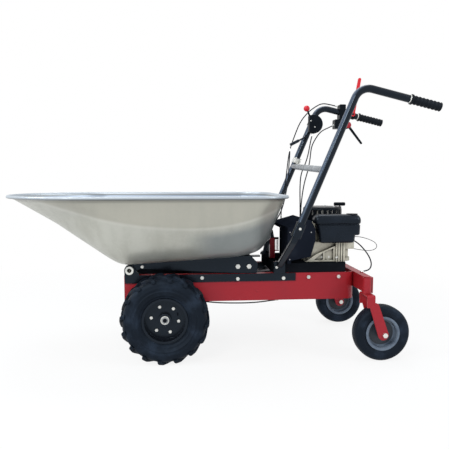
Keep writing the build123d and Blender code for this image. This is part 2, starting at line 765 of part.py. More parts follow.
# Latch pawl: nose beside the tongue, tail above for the cable, short arm over the spring
with BuildPart() as latch_pawl:
    with BuildSketch(side_plane(PAWL_HALF)):
        with BuildLine():
            Polyline(
                (POST_X - 9, LATCH_PIN_Z + 6),
                (POST_X - 8, LATCH_PIN_Z + 40),
                (POST_X + 2, LATCH_PIN_Z + 42),
                (POST_X + 8, LATCH_PIN_Z + 12),
                (SPRING_X + 6, LATCH_PIN_Z + 12),
                (SPRING_X + 6, SPRING_Z[1] + GAP),
                (POST_X + 13, SPRING_Z[1] + GAP),
                (POST_X + 8, LATCH_PIN_Z - 2),
                (POST_X + 2, LATCH_PIN_Z - 11),
                (PAWL_NOSE[0] + 32, LATCH_PIN_Z - 16),
                (PAWL_NOSE[0] + 21, PAWL_NOSE[1] + 2),
                PAWL_NOSE,
                (PAWL_NOSE[0] + 1, PAWL_NOSE[1] + 10),
                (PAWL_NOSE[0] + 11, PAWL_NOSE[1] + 14),
                (PAWL_NOSE[0] + 18, PAWL_NOSE[1] + 48),
                close=True,
            )
        make_face()
        with Locations((POST_X, LATCH_PIN_Z)):
            Circle(LATCH_PIN_R + RUN, mode=Mode.SUBTRACT)
    extrude(amount=2 * PAWL_HALF)
write(latch_pawl, "latch_pawl")


# Latch spring: one wound wire of biarcs, a quarter turn each
def coil_point(turn):
    """A point of the winding and its heading, after the given number of turns."""
    low, high = SPRING_Z[0] + 1.4 * SPRING_WIRE_R, SPRING_Z[1] - SPRING_WIRE_R
    pitch = (high - low) / SPRING_TURNS
    angle = 2 * pi * turn
    point = Vector(SPRING_X + SPRING_COIL_R * cos(angle), SPRING_COIL_R * sin(angle), low + pitch * turn)
    heading = Vector(-SPRING_COIL_R * sin(angle), SPRING_COIL_R * cos(angle), pitch / (2 * pi))
    return point, heading.normalized()


def biarc_join(start, start_dir, end, end_dir):
    """Where two equal tangent arcs meet between two headings."""
    chord = end - start
    both = start_dir + end_dir
    a = both.dot(both) - 4
    b = -2 * chord.dot(both)
    c = chord.dot(chord)
    reach = (-b - sqrt(b * b - 4 * a * c)) / (2 * a)
    return (start + start_dir * reach + end - end_dir * reach) / 2


def coil_gap():
    """Least gap between turns of the winding, measured on points half a turn or more apart."""
    steps = 36
    points = [coil_point(i / steps)[0] for i in range(SPRING_TURNS * steps + 1)]
    least = min(
        (points[i] - points[j]).length
        for i in range(0, len(points), 3)
        for j in range(i + steps // 2, min(len(points), i + 2 * steps))
    )
    return least - 2 * SPRING_WIRE_R


print("latch_spring least gap", round(coil_gap(), 2))
with BuildPart() as latch_spring:
    with BuildLine() as winding:
        first, first_dir = coil_point(0)
        Line(first - first_dir * 2 * SPRING_WIRE_R, first)
        for quarter in range(4 * SPRING_TURNS):
            here, here_dir = coil_point(quarter / 4)
            there, there_dir = coil_point((quarter + 1) / 4)
            middle = biarc_join(here, here_dir, there, there_dir)
            bend = TangentArc(here, middle, tangent=here_dir)
            TangentArc(middle, there, tangent=bend % 1)
        last, last_dir = coil_point(SPRING_TURNS)
        Line(last, last + last_dir * 2 * SPRING_WIRE_R)
    with BuildSketch(Plane(origin=winding.line @ 0, z_dir=winding.line % 0)):
        Circle(SPRING_WIRE_R)
    sweep(path=winding.line)
write(latch_spring, "latch_spring")


# Handlebars: tube with one bend, leg below and grip run above
def handle_path(y):
    corner = Vector(HANDLE_CORNER[0], y, HANDLE_CORNER[1])
    return [leg_point(LEG_FOOT_Z, y), corner, upper_point(HANDLE_END_X, y)]


def handle_tube(y, wall):
    with BuildPart() as tube:
        with BuildLine() as path:
            FilletPolyline(*handle_path(y), radius=HANDLE_BEND_R)
        with BuildSketch(Plane(origin=path.line @ 0, z_dir=path.line % 0)):
            Circle(TUBE_R)
            if wall:
                Circle(TUBE_R - wall, mode=Mode.SUBTRACT)
        sweep(path=path.line)
    return tube


left_core = handle_tube(-HANDLE_Y, 0).part
right_core = handle_tube(HANDLE_Y, 0).part
left_handlebar = handle_tube(-HANDLE_Y, TUBE_WALL)
write(left_handlebar, "left_handlebar")

# The right-hand tube carries the release lever's stud
with BuildPart() as right_handlebar:
    add(handle_tube(HANDLE_Y, TUBE_WALL).part)
    with BuildSketch(side_plane(HANDLE_Y - TUBE_R + 4)):
        with Locations(RELEASE_PIVOT):
            Circle(LEVER_PIN_R)
    extrude(amount=HANDLE_Y - TUBE_R + 4 - RELEASE_Y + 9)
write(right_handlebar, "right_handlebar")

# Grips: ribbed rubber sleeves, closed at the end
run_dir = Vector(1, 0, -HANDLE_DROP).normalized()
with BuildPart() as handle_grips:
    grip_start = upper_point(GRIP_START_X, -HANDLE_Y)
    bar_inside = (HANDLE_END_X - GRIP_START_X) / run_dir.X
    with BuildSketch(Plane(origin=grip_start, x_dir=run_dir, z_dir=(0, 1, 0))):
        Rectangle(GRIP_LENGTH, GRIP_R - 1.5, align=(Align.MIN, Align.MIN))
        with Locations((0, 0)):
            Rectangle(8, GRIP_R + 2, align=(Align.MIN, Align.MIN))
        for rib in range(7):
            with Locations((20 + rib * 13.5, 0)):
                Rectangle(8, GRIP_R, align=(Align.MIN, Align.MIN))
        Rectangle(bar_inside, TUBE_R, align=(Align.MIN, Align.MIN), mode=Mode.SUBTRACT)
    revolve(axis=Axis(grip_start, run_dir))
    mirror(about=Plane.XZ)
write(handle_grips, "handle_grips")

# Handle brackets: a collar round each leg end, and a slim strut that turns in to a foot on the frame's edge
with BuildPart() as left_bracket:
    collar_top = leg_point(BRACKET_TOP_Z, -HANDLE_Y)
    knee = leg_point(BRACKET_KNEE_Z, -HANDLE_Y)
    down_leg = (knee - collar_top).normalized()
    with BuildSketch(Plane(origin=collar_top, x_dir=(0, 1, 0), z_dir=down_leg)):
        RectangleRounded(*COLLAR_SECTION, 5)
    extrude(amount=COLLAR_LENGTH)
    with BuildLine() as route:
        FilletPolyline(knee - down_leg * STRUT, knee, BRACKET_FOOT, radius=26)
    with BuildSketch(Plane(origin=route.line @ 0, x_dir=(0, 1, 0), z_dir=route.line % 0)):
        RectangleRounded(STRUT, STRUT, 4)
    sweep(path=route.line)
    with BuildSketch(side_plane(-DECK_HALF)):
        with Locations((FOOT_BLOCK_X[0], FRAME_TOP)):
            Rectangle(
                FOOT_BLOCK_X[1] - FOOT_BLOCK_X[0],
                FOOT_BLOCK_TOP - FRAME_TOP,
                align=(Align.MIN, Align.MIN),
            )
    extrude(amount=FOOT_BLOCK)
    split(bisect_by=side_plane(-DECK_HALF), keep=Keep.TOP)
    add(left_core, mode=Mode.SUBTRACT)
with BuildPart() as handle_brackets:
    add(left_bracket.part)
    mirror(about=Plane.XZ)
write(handle_brackets, "handle_brackets")

# Cross bar between the legs
with BuildPart() as cross_bar:
    left_end = leg_point(CROSS_BAR_Z[0], -HANDLE_Y)
    right_end = leg_point(CROSS_BAR_Z[1], HANDLE_Y)
    across = (right_end - left_end).normalized()
    with BuildSketch(Plane(origin=left_end + across * 8, z_dir=across)):
        Circle(CROSS_BAR_R)
    extrude(amount=(right_end - left_end).length - 16)
    add(left_core, mode=Mode.SUBTRACT)
    add(right_core, mode=Mode.SUBTRACT)
write(cross_bar, "cross_bar")

# Cable bracket: a folded clip round the right leg, above the cross bar
leg_dir = Vector(LEG_LEAN, 0, 1).normalized()
with BuildPart() as cable_bracket:
    seat = leg_point(CROSS_BAR_Z[1], HANDLE_Y) + leg_dir * 16
    with BuildSketch(Plane(origin=seat, x_dir=(0, -1, 0), z_dir=leg_dir)):
        Circle(TUBE_R + 3)
        with Locations((TUBE_R + 1, 0)):
            Rectangle(34, 26, align=(Align.MIN, Align.CENTER))
        with Locations((TUBE_R + 5, 0)):
            Rectangle(40, 20, align=(Align.MIN, Align.CENTER), mode=Mode.SUBTRACT)
    extrude(amount=24)
    add(right_core, mode=Mode.SUBTRACT)
write(cable_bracket, "cable_bracket")

# Lever clamp: a stepped block and a sleeve on the right grip run, that carry the drive and brake levers
with BuildPart() as lever_clamp:
    for x_from, x_to, z_from, z_to in CLAMP_BLOCKS:
        with BuildSketch(side_plane(HANDLE_Y + CLAMP_HALF)):
            with Locations((x_from, z_from)):
                Rectangle(x_to - x_from, z_to - z_from, align=(Align.MIN, Align.MIN))
        extrude(amount=2 * CLAMP_HALF)
    fillet(lever_clamp.edges().filter_by(Axis.Y), 4)
    with BuildSketch(Plane(origin=upper_point(CLAMP_SLEEVE_X[0], HANDLE_Y), z_dir=run_dir)):
        Circle(CLAMP_SLEEVE_R)
    extrude(amount=(CLAMP_SLEEVE_X[1] - CLAMP_SLEEVE_X[0]) / run_dir.X)
    for pin in (DRIVE_LEVER_PIVOT, BRAKE_PIVOT):
        with BuildSketch(side_plane(HANDLE_Y - TUBE_R)):
            with Locations(pin):
                Circle(LEVER_PIN_R)
        extrude(amount=HANDLE_Y - TUBE_R - CONTROL_Y[0] + 2)
    add(right_core, mode=Mode.SUBTRACT)
write(lever_clamp, "lever_clamp")


def flat_lever(pivot, hub_r, arm_r, tip, tip_r):
    """A flat lever: bored round hub, slim arm and round tip."""
    with BuildPart() as lever:
        with BuildSketch(side_plane(CONTROL_Y[1])):
            strap(pivot, arm_r, tip, tip_r)
            with Locations(pivot):
                Circle(hub_r)
                Circle(LEVER_PIN_R + RUN, mode=Mode.SUBTRACT)
        extrude(amount=CONTROL_Y[1] - CONTROL_Y[0])
    return lever


# Drive lever standing up beside the right grip, brake lever pointing down under it
write(flat_lever(DRIVE_LEVER_PIVOT, 10, 8, DRIVE_LEVER_TIP, 7), "drive_lever")
write(flat_lever(BRAKE_PIVOT, 13, 5.5, BRAKE_TIP, 4.5), "brake_lever")

# Throttle box: a round case with one flat side, clamped inside the right leg and slotted for its lever
with BuildPart() as throttle_box:
    with BuildSketch(side_plane(THROTTLE_BOX_Y[1])):
        with Locations(THROTTLE_PIVOT):
            Circle(THROTTLE_BOX_R)
        with Locations((THROTTLE_FLAT_X, THROTTLE_PIVOT[1])):
            Rectangle(
                2 * THROTTLE_BOX_R,
                2 * THROTTLE_BOX_R,
                align=(Align.MIN, Align.CENTER),
                mode=Mode.INTERSECT,
            )
    extrude(amount=THROTTLE_BOX_Y[1] - THROTTLE_BOX_Y[0])
    corners = throttle_box.edges().filter_by(Axis.Y)
    fillet(corners.filter_by_position(Axis.X, THROTTLE_FLAT_X - 1, THROTTLE_FLAT_X + 1), 6)
    fillet(throttle_box.faces().filter_by(Axis.Y).edges(), 4)
    throttle_seat = leg_point(THROTTLE_PIVOT[1] - 6, HANDLE_Y)
    with BuildSketch(Plane(origin=throttle_seat, x_dir=(0, -1, 0), z_dir=leg_dir)):
        Circle(TUBE_R + 4)
        Rectangle(HANDLE_Y - THROTTLE_BOX_Y[1] + 6, 30, align=(Align.MIN, Align.CENTER))
    extrude(amount=26)
    with BuildSketch(side_plane(THROTTLE_SLOT[1])):
        with Locations(THROTTLE_PIVOT):
            Circle(THROTTLE_BOX_R + 2)
            Rectangle(
                3 * THROTTLE_BOX_R,
                3 * THROTTLE_BOX_R,
                align=(Align.CENTER, Align.MAX),
                mode=Mode.SUBTRACT,
            )
            Circle(THROTTLE_HUB_R + 3)
    extrude(amount=THROTTLE_SLOT[1] - THROTTLE_SLOT[0], mode=Mode.SUBTRACT)
    with BuildSketch(side_plane(THROTTLE_SLOT[1])):
        with Locations(THROTTLE_PIVOT):
            Circle(LEVER_PIN_R)
    extrude(amount=THROTTLE_SLOT[1] - THROTTLE_SLOT[0])
    add(right_core, mode=Mode.SUBTRACT)
write(throttle_box, "throttle_box")

# Throttle lever: slim stalk in the slot, with a ball knob pushed on its end
with BuildPart() as throttle_lever:
    slot_mid = (THROTTLE_SLOT[0] + THROTTLE_SLOT[1]) / 2
    with BuildSketch(side_plane(slot_mid + 2)):
        strap(THROTTLE_PIVOT, 4.5, THROTTLE_KNOB, 3.5)
        with Locations(THROTTLE_PIVOT):
            Circle(THROTTLE_HUB_R)
            Circle(LEVER_PIN_R + RUN, mode=Mode.SUBTRACT)
    extrude(amount=4)
write(throttle_lever, "throttle_lever")

with BuildPart() as throttle_knob:
    with Locations((THROTTLE_KNOB[0], slot_mid, THROTTLE_KNOB[1])):
        Sphere(THROTTLE_KNOB_R, rotation=(90, 0, 0))
    add(throttle_lever.part, mode=Mode.SUBTRACT)
write(throttle_knob, "throttle_knob")

# Tray release lever: hub on the stud, rod forward and down, rubber sleeve on its end
with BuildPart() as release_lever:
    hub = Vector(RELEASE_PIVOT[0], RELEASE_Y, RELEASE_PIVOT[1])
    tip = Vector(RELEASE_TIP[0], RELEASE_Y, RELEASE_TIP[1])
    reach = (tip - hub).length
    with BuildSketch(Plane(origin=hub, z_dir=tip - hub)):
        Circle(RELEASE_ROD_R)
    extrude(amount=reach - 4)
    with BuildSketch(Plane(origin=hub + (tip - hub).normalized() * (reach - 46), z_dir=tip - hub)):
        Circle(RELEASE_SLEEVE_R)
    extrude(amount=46)
    fillet(release_lever.edges().filter_by(GeomType.CIRCLE).sort_by(Axis.X)[0], 4)
    with BuildSketch(side_plane(RELEASE_Y + 6)):
        with Locations(RELEASE_PIVOT):
            Circle(10)
    extrude(amount=12)
    with BuildSketch(side_plane(RELEASE_Y + 6)):
        with Locations(RELEASE_PIVOT):
            Circle(LEVER_PIN_R + RUN)
    extrude(amount=12, mode=Mode.SUBTRACT)
write(release_lever, "release_lever")


# Drive wheels
def carcass_outline():
    """Half section of the carcass: radius, and distance from its middle."""
    half = DRIVE_HALF
    outside = [
        (BEAD_R, half - 19),
        (BEAD_R + 8, half - 15),
        (112.0, half - 1),
        (138.0, half - 2),
        (TREAD_R, half - 12),
    ]
    inside = [
        (TREAD_R - WALL_RUBBER, half - 19),
        (136.0, half - 11),
        (112.0, half - 10),
        (BEAD_R, half - 27),
    ]
    ring = outside + [(r, -a) for r, a in reversed(outside)]
    return ring + [(r, -a) for r, a in reversed(inside)] + inside


# The tread is cut upright about Z: slanted lugs inside the tyre's outer shape, then the carcass
with BuildPart() as upright_tyre:
    for side in (-1, 1):
        phase = 0 if side > 0 else 180.0 / LUGS
        with PolarLocations(DRIVE_R - LUG_SIZE[0] / 2 + 3, LUGS, start_angle=90 + phase):
            with Locations((0, 0, side * LUG_OFFSET)):
                Box(*LUG_SIZE, rotation=(side * LUG_SLANT, 0, 0))
    Cylinder(DRIVE_R, 2 * DRIVE_HALF - 4, mode=Mode.INTERSECT)
    with BuildSketch(Plane.XZ) as carcass:
        with BuildLine():
            Polyline(*carcass_outline(), close=True)
        make_face()
        soft = carcass.vertices().filter_by_position(Axis.X, 100, TREAD_R + 1)
        fillet(soft, 5)
    revolve(axis=Axis.Z)

with BuildPart() as left_drive_tyre:
    with Locations(wheel_plane(DRIVE_X, -DRIVE_Y, DRIVE_R)):
        add(upright_tyre.part)
write(left_drive_tyre, "left_drive_tyre")
write(mirrored(left_drive_tyre), "right_drive_tyre")

# Wheel bolts and the washer on each axle end
with BuildPart() as wheel_bolts:
    with BuildSketch(wheel_plane(DRIVE_X, -DRIVE_Y - DISC_FACE, DRIVE_R)):
        with PolarLocations(WHEEL_BOLT_CIRCLE, WHEEL_BOLTS, start_angle=WHEEL_BOLT_ANGLE):
            RegularPolygon(WHEEL_BOLT_ACROSS / 2, 6, major_radius=False)
    extrude(amount=BOLT_HEAD)
    with BuildSketch(wheel_plane(DRIVE_X, -DRIVE_Y - DISC_FACE, DRIVE_R)):
        with PolarLocations(WHEEL_BOLT_CIRCLE, WHEEL_BOLTS, start_angle=WHEEL_BOLT_ANGLE):
            Circle(BOLT_R)
    extrude(amount=-14)
    with BuildSketch(wheel_plane(DRIVE_X, -AXLE_END + 4, DRIVE_R)):
        Circle(16)
        Circle(AXLE_R, mode=Mode.SUBTRACT)
    extrude(amount=3)
    mirror(about=Plane.XZ)
write(wheel_bolts, "wheel_bolts")

# Drive rims: barrel, flanges, bolted disc and hub
with BuildPart() as drive_rims:
    with BuildSketch(Plane(origin=(DRIVE_X, -DRIVE_Y, DRIVE_R))):
        with Locations((BEAD_R - 2, 0)):
            Rectangle(4, 96)
        with Locations((BEAD_R + 1.5, -46.5), (BEAD_R + 1.5, 46.5)):
            Rectangle(7, 3)
        with Locations((HUB_R - 2, -DISC_FACE)):
            Rectangle(BEAD_R - HUB_R, 5, align=(Align.MIN, Align.MIN))
        with Locations((AXLE_R, -AXLE_END + DRIVE_Y + 4)):
            Rectangle(HUB_R - AXLE_R, AXLE_END - DRIVE_Y + 22, align=(Align.MIN, Align.MIN))
    revolve(axis=cross_axis(DRIVE_X, DRIVE_R))
    mirror(about=Plane.XZ)
    add(wheel_bolts.part, mode=Mode.SUBTRACT)
write(drive_rims, "drive_rims")

with BuildPart() as axle_shaft:
    with BuildSketch(side_plane(AXLE_END)):
        with Locations((DRIVE_X, DRIVE_R)):
            Circle(AXLE_R)
    extrude(amount=2 * AXLE_END)
    chamfer(axle_shaft.edges().filter_by(GeomType.CIRCLE), 1.5)
write(axle_shaft, "axle_shaft")

# Casters
def caster_fork(y):
    with BuildPart() as fork:
        with BuildSketch(side_plane(y + FORK_HALF)):
            strap((CASTER_X - 5, CASTER_R), 20, FORK_ARM_TOP, 17.5)
            with Locations((FORK_CROWN_X, BEAM_Z[0] - GAP)):
                Rectangle(*FORK_CROWN, align=(Align.CENTER, Align.MAX))
        extrude(amount=2 * FORK_HALF)
        crown = fork.edges().filter_by(Axis.X).group_by(Axis.Z)[-1]
        fillet(crown, 8)
        with BuildSketch(side_plane(y + FORK_HALF - FORK_PLATE)):
            with Locations((CASTER_X, BEAM_Z[0] - GAP - FORK_PLATE)):
                Rectangle(300, 300, align=(Align.CENTER, Align.MAX))
        extrude(amount=2 * (FORK_HALF - FORK_PLATE), mode=Mode.SUBTRACT)
        with BuildSketch(Plane.XY.offset(BEAM_Z[0] - GAP - FORK_PLATE)):
            with Locations((SWIVEL_X, y)):
                Circle(STEM_R)
        extrude(amount=BEAM_Z[1] - BEAM_Z[0] + 2 * GAP + FORK_PLATE)
        with BuildSketch(Plane.XY.offset(BEAM_Z[1] + GAP)):
            with Locations((SWIVEL_X, y)):
                Circle(SWIVEL_TUBE_R - 3)
        extrude(amount=4)
        with BuildSketch(side_plane(y + FORK_HALF)):
            with Locations((CASTER_X, CASTER_R)):
                Circle(CASTER_AXLE_R)
        extrude(amount=2 * FORK_HALF, mode=Mode.SUBTRACT)
    return fork


def caster_axle(y):
    with BuildPart() as axle:
        with BuildSketch(side_plane(y + FORK_HALF)):
            with Locations((CASTER_X, CASTER_R)):
                Circle(CASTER_AXLE_R)
        extrude(amount=2 * FORK_HALF)
        for start in (y + FORK_HALF + 9, y - FORK_HALF):
            with BuildSketch(side_plane(start)):
                with Locations((CASTER_X, CASTER_R)):
                    RegularPolygon(CASTER_NUT_ACROSS / 2, 6, major_radius=False)
            extrude(amount=9)
    return axle


def caster_rim(y):
    with BuildPart() as rim:
        with BuildSketch(Plane(origin=(CASTER_X, y, CASTER_R))):
            with Locations((CASTER_RIM_R - 3, 0)):
                Rectangle(6, 50)
            with Locations((CASTER_RIM_R + 1, -25.75), (CASTER_RIM_R + 1, 25.75)):
                Rectangle(8, 2.5)
            with Locations((36, 0)):
                Rectangle(44, 8)
            with Locations((CASTER_AXLE_R + RUN, 0)):
                Rectangle(12, 68, align=(Align.MIN, Align.CENTER))
        revolve(axis=cross_axis(CASTER_X, CASTER_R))
    return rim


def caster_tyre(y):
    half = CASTER_HALF
    with BuildPart() as tyre:
        with BuildSketch(Plane(origin=(CASTER_X, y, CASTER_R))) as section:
            with BuildLine():
                Polyline(
                    (CASTER_RIM_R, -23),
                    (CASTER_RIM_R + 8, -24),
                    (CASTER_RIM_R + 22, -half),
                    (CASTER_R - 10, -half + 2),
                    (CASTER_R, -half + 12),
                    (CASTER_R, half - 12),
                    (CASTER_R - 10, half - 2),
                    (CASTER_RIM_R + 22, half),
                    (CASTER_RIM_R + 8, 24),
                    (CASTER_RIM_R, 23),
                    close=True,
                )
            make_face()
            fillet(section.vertices().filter_by_position(Axis.X, CASTER_RIM_R + 12, CASTER_R + 1), 4)
            with Locations((CASTER_R, -9), (CASTER_R, 9)):
                Rectangle(6, 4, mode=Mode.SUBTRACT)
        revolve(axis=cross_axis(CASTER_X, CASTER_R))
    return tyre


for hand, caster_y in (("left", -CASTER_Y), ("right", CASTER_Y)):
    write(caster_fork(caster_y), f"{hand}_fork")
    write(caster_axle(caster_y), f"{hand}_caster_axle")
    write(caster_rim(caster_y), f"{hand}_caster_rim")
    write(caster_tyre(caster_y), f"{hand}_caster_tyre")

# Engine block: sump, crankcase with a pocketed cover, grooved column and ledge under the tank,
# finned cylinder to the right and a plate for the cable ends
with BuildPart() as engine_block:
    with BuildSketch(Plane.XY.offset(DECK_TOP)):
        with Locations(((SUMP_X[0] + SUMP_X[1]) / 2, -15)):
            RectangleRounded(SUMP_X[1] - SUMP_X[0], 2 * SUMP_HALF, 30)
    extrude(amount=14)
    block_mid = (BLOCK_X[0] + BLOCK_X[1]) / 2
    block_length = BLOCK_X[1] - BLOCK_X[0]
    with BuildSketch(Plane.XY.offset(DECK_TOP)):
        with Locations((block_mid, BLOCK_FAR)):
            Rectangle(block_length, BLOCK_FAR - BLOCK_NEAR, align=(Align.CENTER, Align.MAX))
    extrude(amount=TANK_SEAT - DECK_TOP)
    with BuildSketch(Plane.XY.offset(TANK_SEAT)):
        with Locations((block_mid, BLOCK_FAR)):
            Rectangle(block_length, BLOCK_FAR + 80, align=(Align.CENTER, Align.MAX))
    extrude(amount=BLOCK_TOP - TANK_SEAT)
    with BuildSketch(side_plane(COVER_Y[1])):
        Polygon(*COVER_OUTLINE, align=None)
    extrude(amount=COVER_Y[1] - COVER_Y[0])
    with BuildSketch(side_plane(COVER_Y[0] + POCKET_DEPTH)):
        for pocket in COVER_POCKETS:
            Polygon(*pocket, align=None)
    extrude(amount=POCKET_DEPTH, mode=Mode.SUBTRACT)
    for x_from, x_to, near, foot in (
        (*COLUMN_X, COLUMN_NEAR, DECK_TOP),
        (COLUMN_X[1], LEDGE_X, LEDGE_NEAR, LEDGE_Z),
    ):
        with BuildSketch(Plane.XY.offset(foot)):
            with Locations((x_from, near)):
                Rectangle(x_to - x_from, COVER_Y[1] - near, align=(Align.MIN, Align.MIN))
        extrude(amount=TANK_SEAT - foot)
    with BuildSketch(Plane.XY.offset(DECK_TOP)):
        with Locations(*[(groove_x, COLUMN_NEAR) for groove_x in COLUMN_GROOVES]):
            Rectangle(GROOVE, 2 * GROOVE)
    extrude(amount=TANK_SEAT - DECK_TOP, mode=Mode.SUBTRACT)
    with BuildSketch(Plane.XY.offset(CABLE_PLATE_Z[0])):
        with Locations((CABLE_PLATE_X[0], CABLE_PLATE_Y[0])):
            Rectangle(
                CABLE_PLATE_X[1] - CABLE_PLATE_X[0],
                CABLE_PLATE_Y[1] - CABLE_PLATE_Y[0],
                align=(Align.MIN, Align.MIN),
            )
    extrude(amount=CABLE_PLATE_Z[1] - CABLE_PLATE_Z[0])
    with BuildSketch(side_plane(BLOCK_FAR + FINS * FIN_PITCH)):
        with Locations((ENGINE_X, CYLINDER_Z)):
            Circle(CYLINDER_R)
    extrude(amount=FINS * FIN_PITCH)
    for fin in range(FINS):
        with BuildSketch(side_plane(BLOCK_FAR + (fin + 1) * FIN_PITCH)):
            with Locations((ENGINE_X, CYLINDER_Z)):
                RectangleRounded(FIN_SIZE, FIN_SIZE - 10, 8)
        extrude(amount=4)
    with BuildSketch(Plane.XY.offset(DECK_TOP)):
        with Locations((ENGINE_X, 0)):
            Circle(CRANK_R + RUN)
    extrude(amount=BLOCK_TOP - DECK_TOP, mode=Mode.SUBTRACT)
write(engine_block, "engine_block")


# Blower housing: round shroud over the flywheel, drawn out over the cylinder
def blower_plan(margin):
    with BuildSketch() as plan:
        with Locations((ENGINE_X, 0)):
            Circle(BLOWER_R + margin)
        with Locations((ENGINE_X, BLOCK_FAR + 40)):
            Rectangle(100 + 2 * margin, 88 + 2 * margin)
        make_hull()
    return plan.sketch


with BuildPart() as blower_housing:
    with BuildSketch(Plane.XY.offset(BLOCK_TOP)):
        add(blower_plan(0))
    extrude(amount=BLOWER_TOP - BLOCK_TOP)
    fillet(blower_housing.edges().group_by(Axis.Z)[-1], 8)
    open_side = blower_housing.faces().sort_by(Axis.Z)[0]
    offset(amount=-BLOWER_WALL, openings=open_side)
    with BuildSketch(Plane.XY.offset(BLOWER_TOP)):
        with Locations((ENGINE_X, 0)):
            Circle(RECOIL_R - 14)
    extrude(amount=-BLOWER_WALL, mode=Mode.SUBTRACT)
write(blower_housing, "blower_housing")

# Recoil cover: slotted cup on the shroud, with a boss for the rope
with BuildPart() as recoil_cover:
    with BuildSketch(Plane.XY.offset(BLOWER_TOP)):
        with Locations((ENGINE_X, 0)):
            Circle(RECOIL_R)
    extrude(amount=RECOIL_TOP - BLOWER_TOP)
    fillet(recoil_cover.edges().group_by(Axis.Z)[-1], 12)
    cover_mouth = recoil_cover.faces().sort_by(Axis.Z)[0]
    offset(amount=-BLOWER_WALL, openings=cover_mouth)
    with BuildSketch(Plane.XY.offset(RECOIL_SLOT_Z[0])):
        with Locations((ENGINE_X, 0)):
            with PolarLocations(RECOIL_R - 1, RECOIL_SLOTS):
                Rectangle(16, RECOIL_SLOT)
    extrude(amount=RECOIL_SLOT_Z[1] - RECOIL_SLOT_Z[0], mode=Mode.SUBTRACT)
    with BuildSketch(Plane.XY.offset(RECOIL_TOP - 24)):
        with Locations(ROPE_SPOT):
            Circle(8)
    extrude(amount=24)
    with BuildSketch(Plane.XY.offset(RECOIL_TOP - 24)):
        with Locations(ROPE_SPOT):
            Circle(ROPE_R + 1)
    extrude(amount=24, mode=Mode.SUBTRACT)
write(recoil_cover, "recoil_cover")

# Fuel tank: moulded in two halves with a seam lip, drawn in below it and stepped at the back
with BuildPart() as fuel_tank:
    tank_depth = TANK_Y[1] - TANK_Y[0]
    with BuildSketch(side_plane(TANK_Y[1])):
        with BuildLine():
            Polyline(
                (TANK_BODY_X + 16, TANK_SEAT),
                (TANK_STEP_X - 4, TANK_SEAT),
                (TANK_STEP_X, TANK_STEP_Z),
                (TANK_X[1], TANK_STEP_Z + 3),
                (TANK_X[1] - 3, TANK_TOP),
                (TANK_X[0] + 5, TANK_TOP),
                (TANK_X[0], TANK_SEAM_Z + 2),
                (TANK_BODY_X, TANK_SEAM_Z - 5),
                (TANK_BODY_X + 5, TANK_SEAT + 23),
                close=True,
            )
        make_face()
    extrude(amount=tank_depth)
    fillet(fuel_tank.edges().filter_by(Axis.Y), 5)
    near_edges = fuel_tank.faces().sort_by(Axis.Y)[0].edges()
    fillet(near_edges, 4)
    with BuildSketch(Plane.XY.offset(TANK_SEAM_Z)):
        with Locations(((TANK_X[0] + TANK_X[1]) / 2 - 1, TANK_Y[1])):
            Rectangle(TANK_X[1] - TANK_X[0] + 2, tank_depth + 3, align=(Align.CENTER, Align.MAX))
    extrude(amount=4)
    with BuildSketch(Plane.XY.offset(TANK_TOP)):
        with Locations(CAP_SPOT):
            Circle(CAP_R)
    extrude(amount=-6, mode=Mode.SUBTRACT)
write(fuel_tank, "fuel_tank")

with BuildPart() as fuel_cap:
    with BuildSketch(Plane.XY.offset(TANK_TOP - 6)):
        with Locations(CAP_SPOT):
            Circle(CAP_R)
    extrude(amount=8)
    with BuildSketch(Plane.XY.offset(TANK_TOP)):
        with Locations(CAP_SPOT):
            with PolarLocations(CAP_R, 16):
                Circle(1.5)
    extrude(amount=2, mode=Mode.SUBTRACT)
write(fuel_cap, "fuel_cap")


# Engine guard: folded cover with a pitched top between the tub and the engine, cut away low at the back
# and open on the right half of its front
def guard_outline(inset):
    low, high = GUARD_X
    return [
        (low + inset, DECK_TOP),
        (low + inset, GUARD_EAVE - inset / 2),
        (GUARD_RIDGE[0], GUARD_RIDGE[1] - inset),
        (high + inset, GUARD_BACK - inset),
        (high + inset, DECK_TOP),
    ]


with BuildPart() as engine_guard:
    for inset, mode in ((0, Mode.ADD), (GUARD_SHEET, Mode.SUBTRACT)):
        half = GUARD_HALF - inset
        with BuildSketch(side_plane(half)):
            with BuildLine():
                Polyline(*guard_outline(inset), close=True)
            make_face()
        extrude(amount=2 * half, mode=mode)
    with BuildSketch(side_plane(GUARD_HALF)):
        Polygon(*GUARD_CUT, align=None)
    extrude(amount=2 * GUARD_HALF, mode=Mode.SUBTRACT)
    with BuildSketch(Plane.XY.offset(BLOCK_TOP)):
        add(blower_plan(3))
    extrude(amount=GUARD_RIDGE[1] - BLOCK_TOP, mode=Mode.SUBTRACT)
    window_x, window_y, window_z = GUARD_WINDOW
    with BuildSketch(side_plane(window_y[1])):
        with Locations((window_x[0], window_z[0])):
            Rectangle(
                window_x[1] - window_x[0],
                window_z[1] - window_z[0],
                align=(Align.MIN, Align.MIN),
            )
    extrude(amount=window_y[1] - window_y[0], mode=Mode.SUBTRACT)
write(engine_guard, "engine_guard")

# Air filter with its carburettor, under the guard
with BuildPart() as air_filter:
    with BuildSketch(Plane.XY.offset(FILTER_Z[0])):
        with Locations(FILTER_SPOT):
            RectangleRounded(*FILTER_SIZE, 14)
    extrude(amount=FILTER_Z[1] - FILTER_Z[0])
    fillet(air_filter.edges().group_by(Axis.Z)[-1], 8)
    with BuildSketch(Plane.YZ.offset(INTAKE_X)):
        with Locations((0, INTAKE_Z)):
            RectangleRounded(*INTAKE_SIZE, 6)
    extrude(amount=BLOCK_X[0] - INTAKE_X)
write(air_filter, "air_filter")

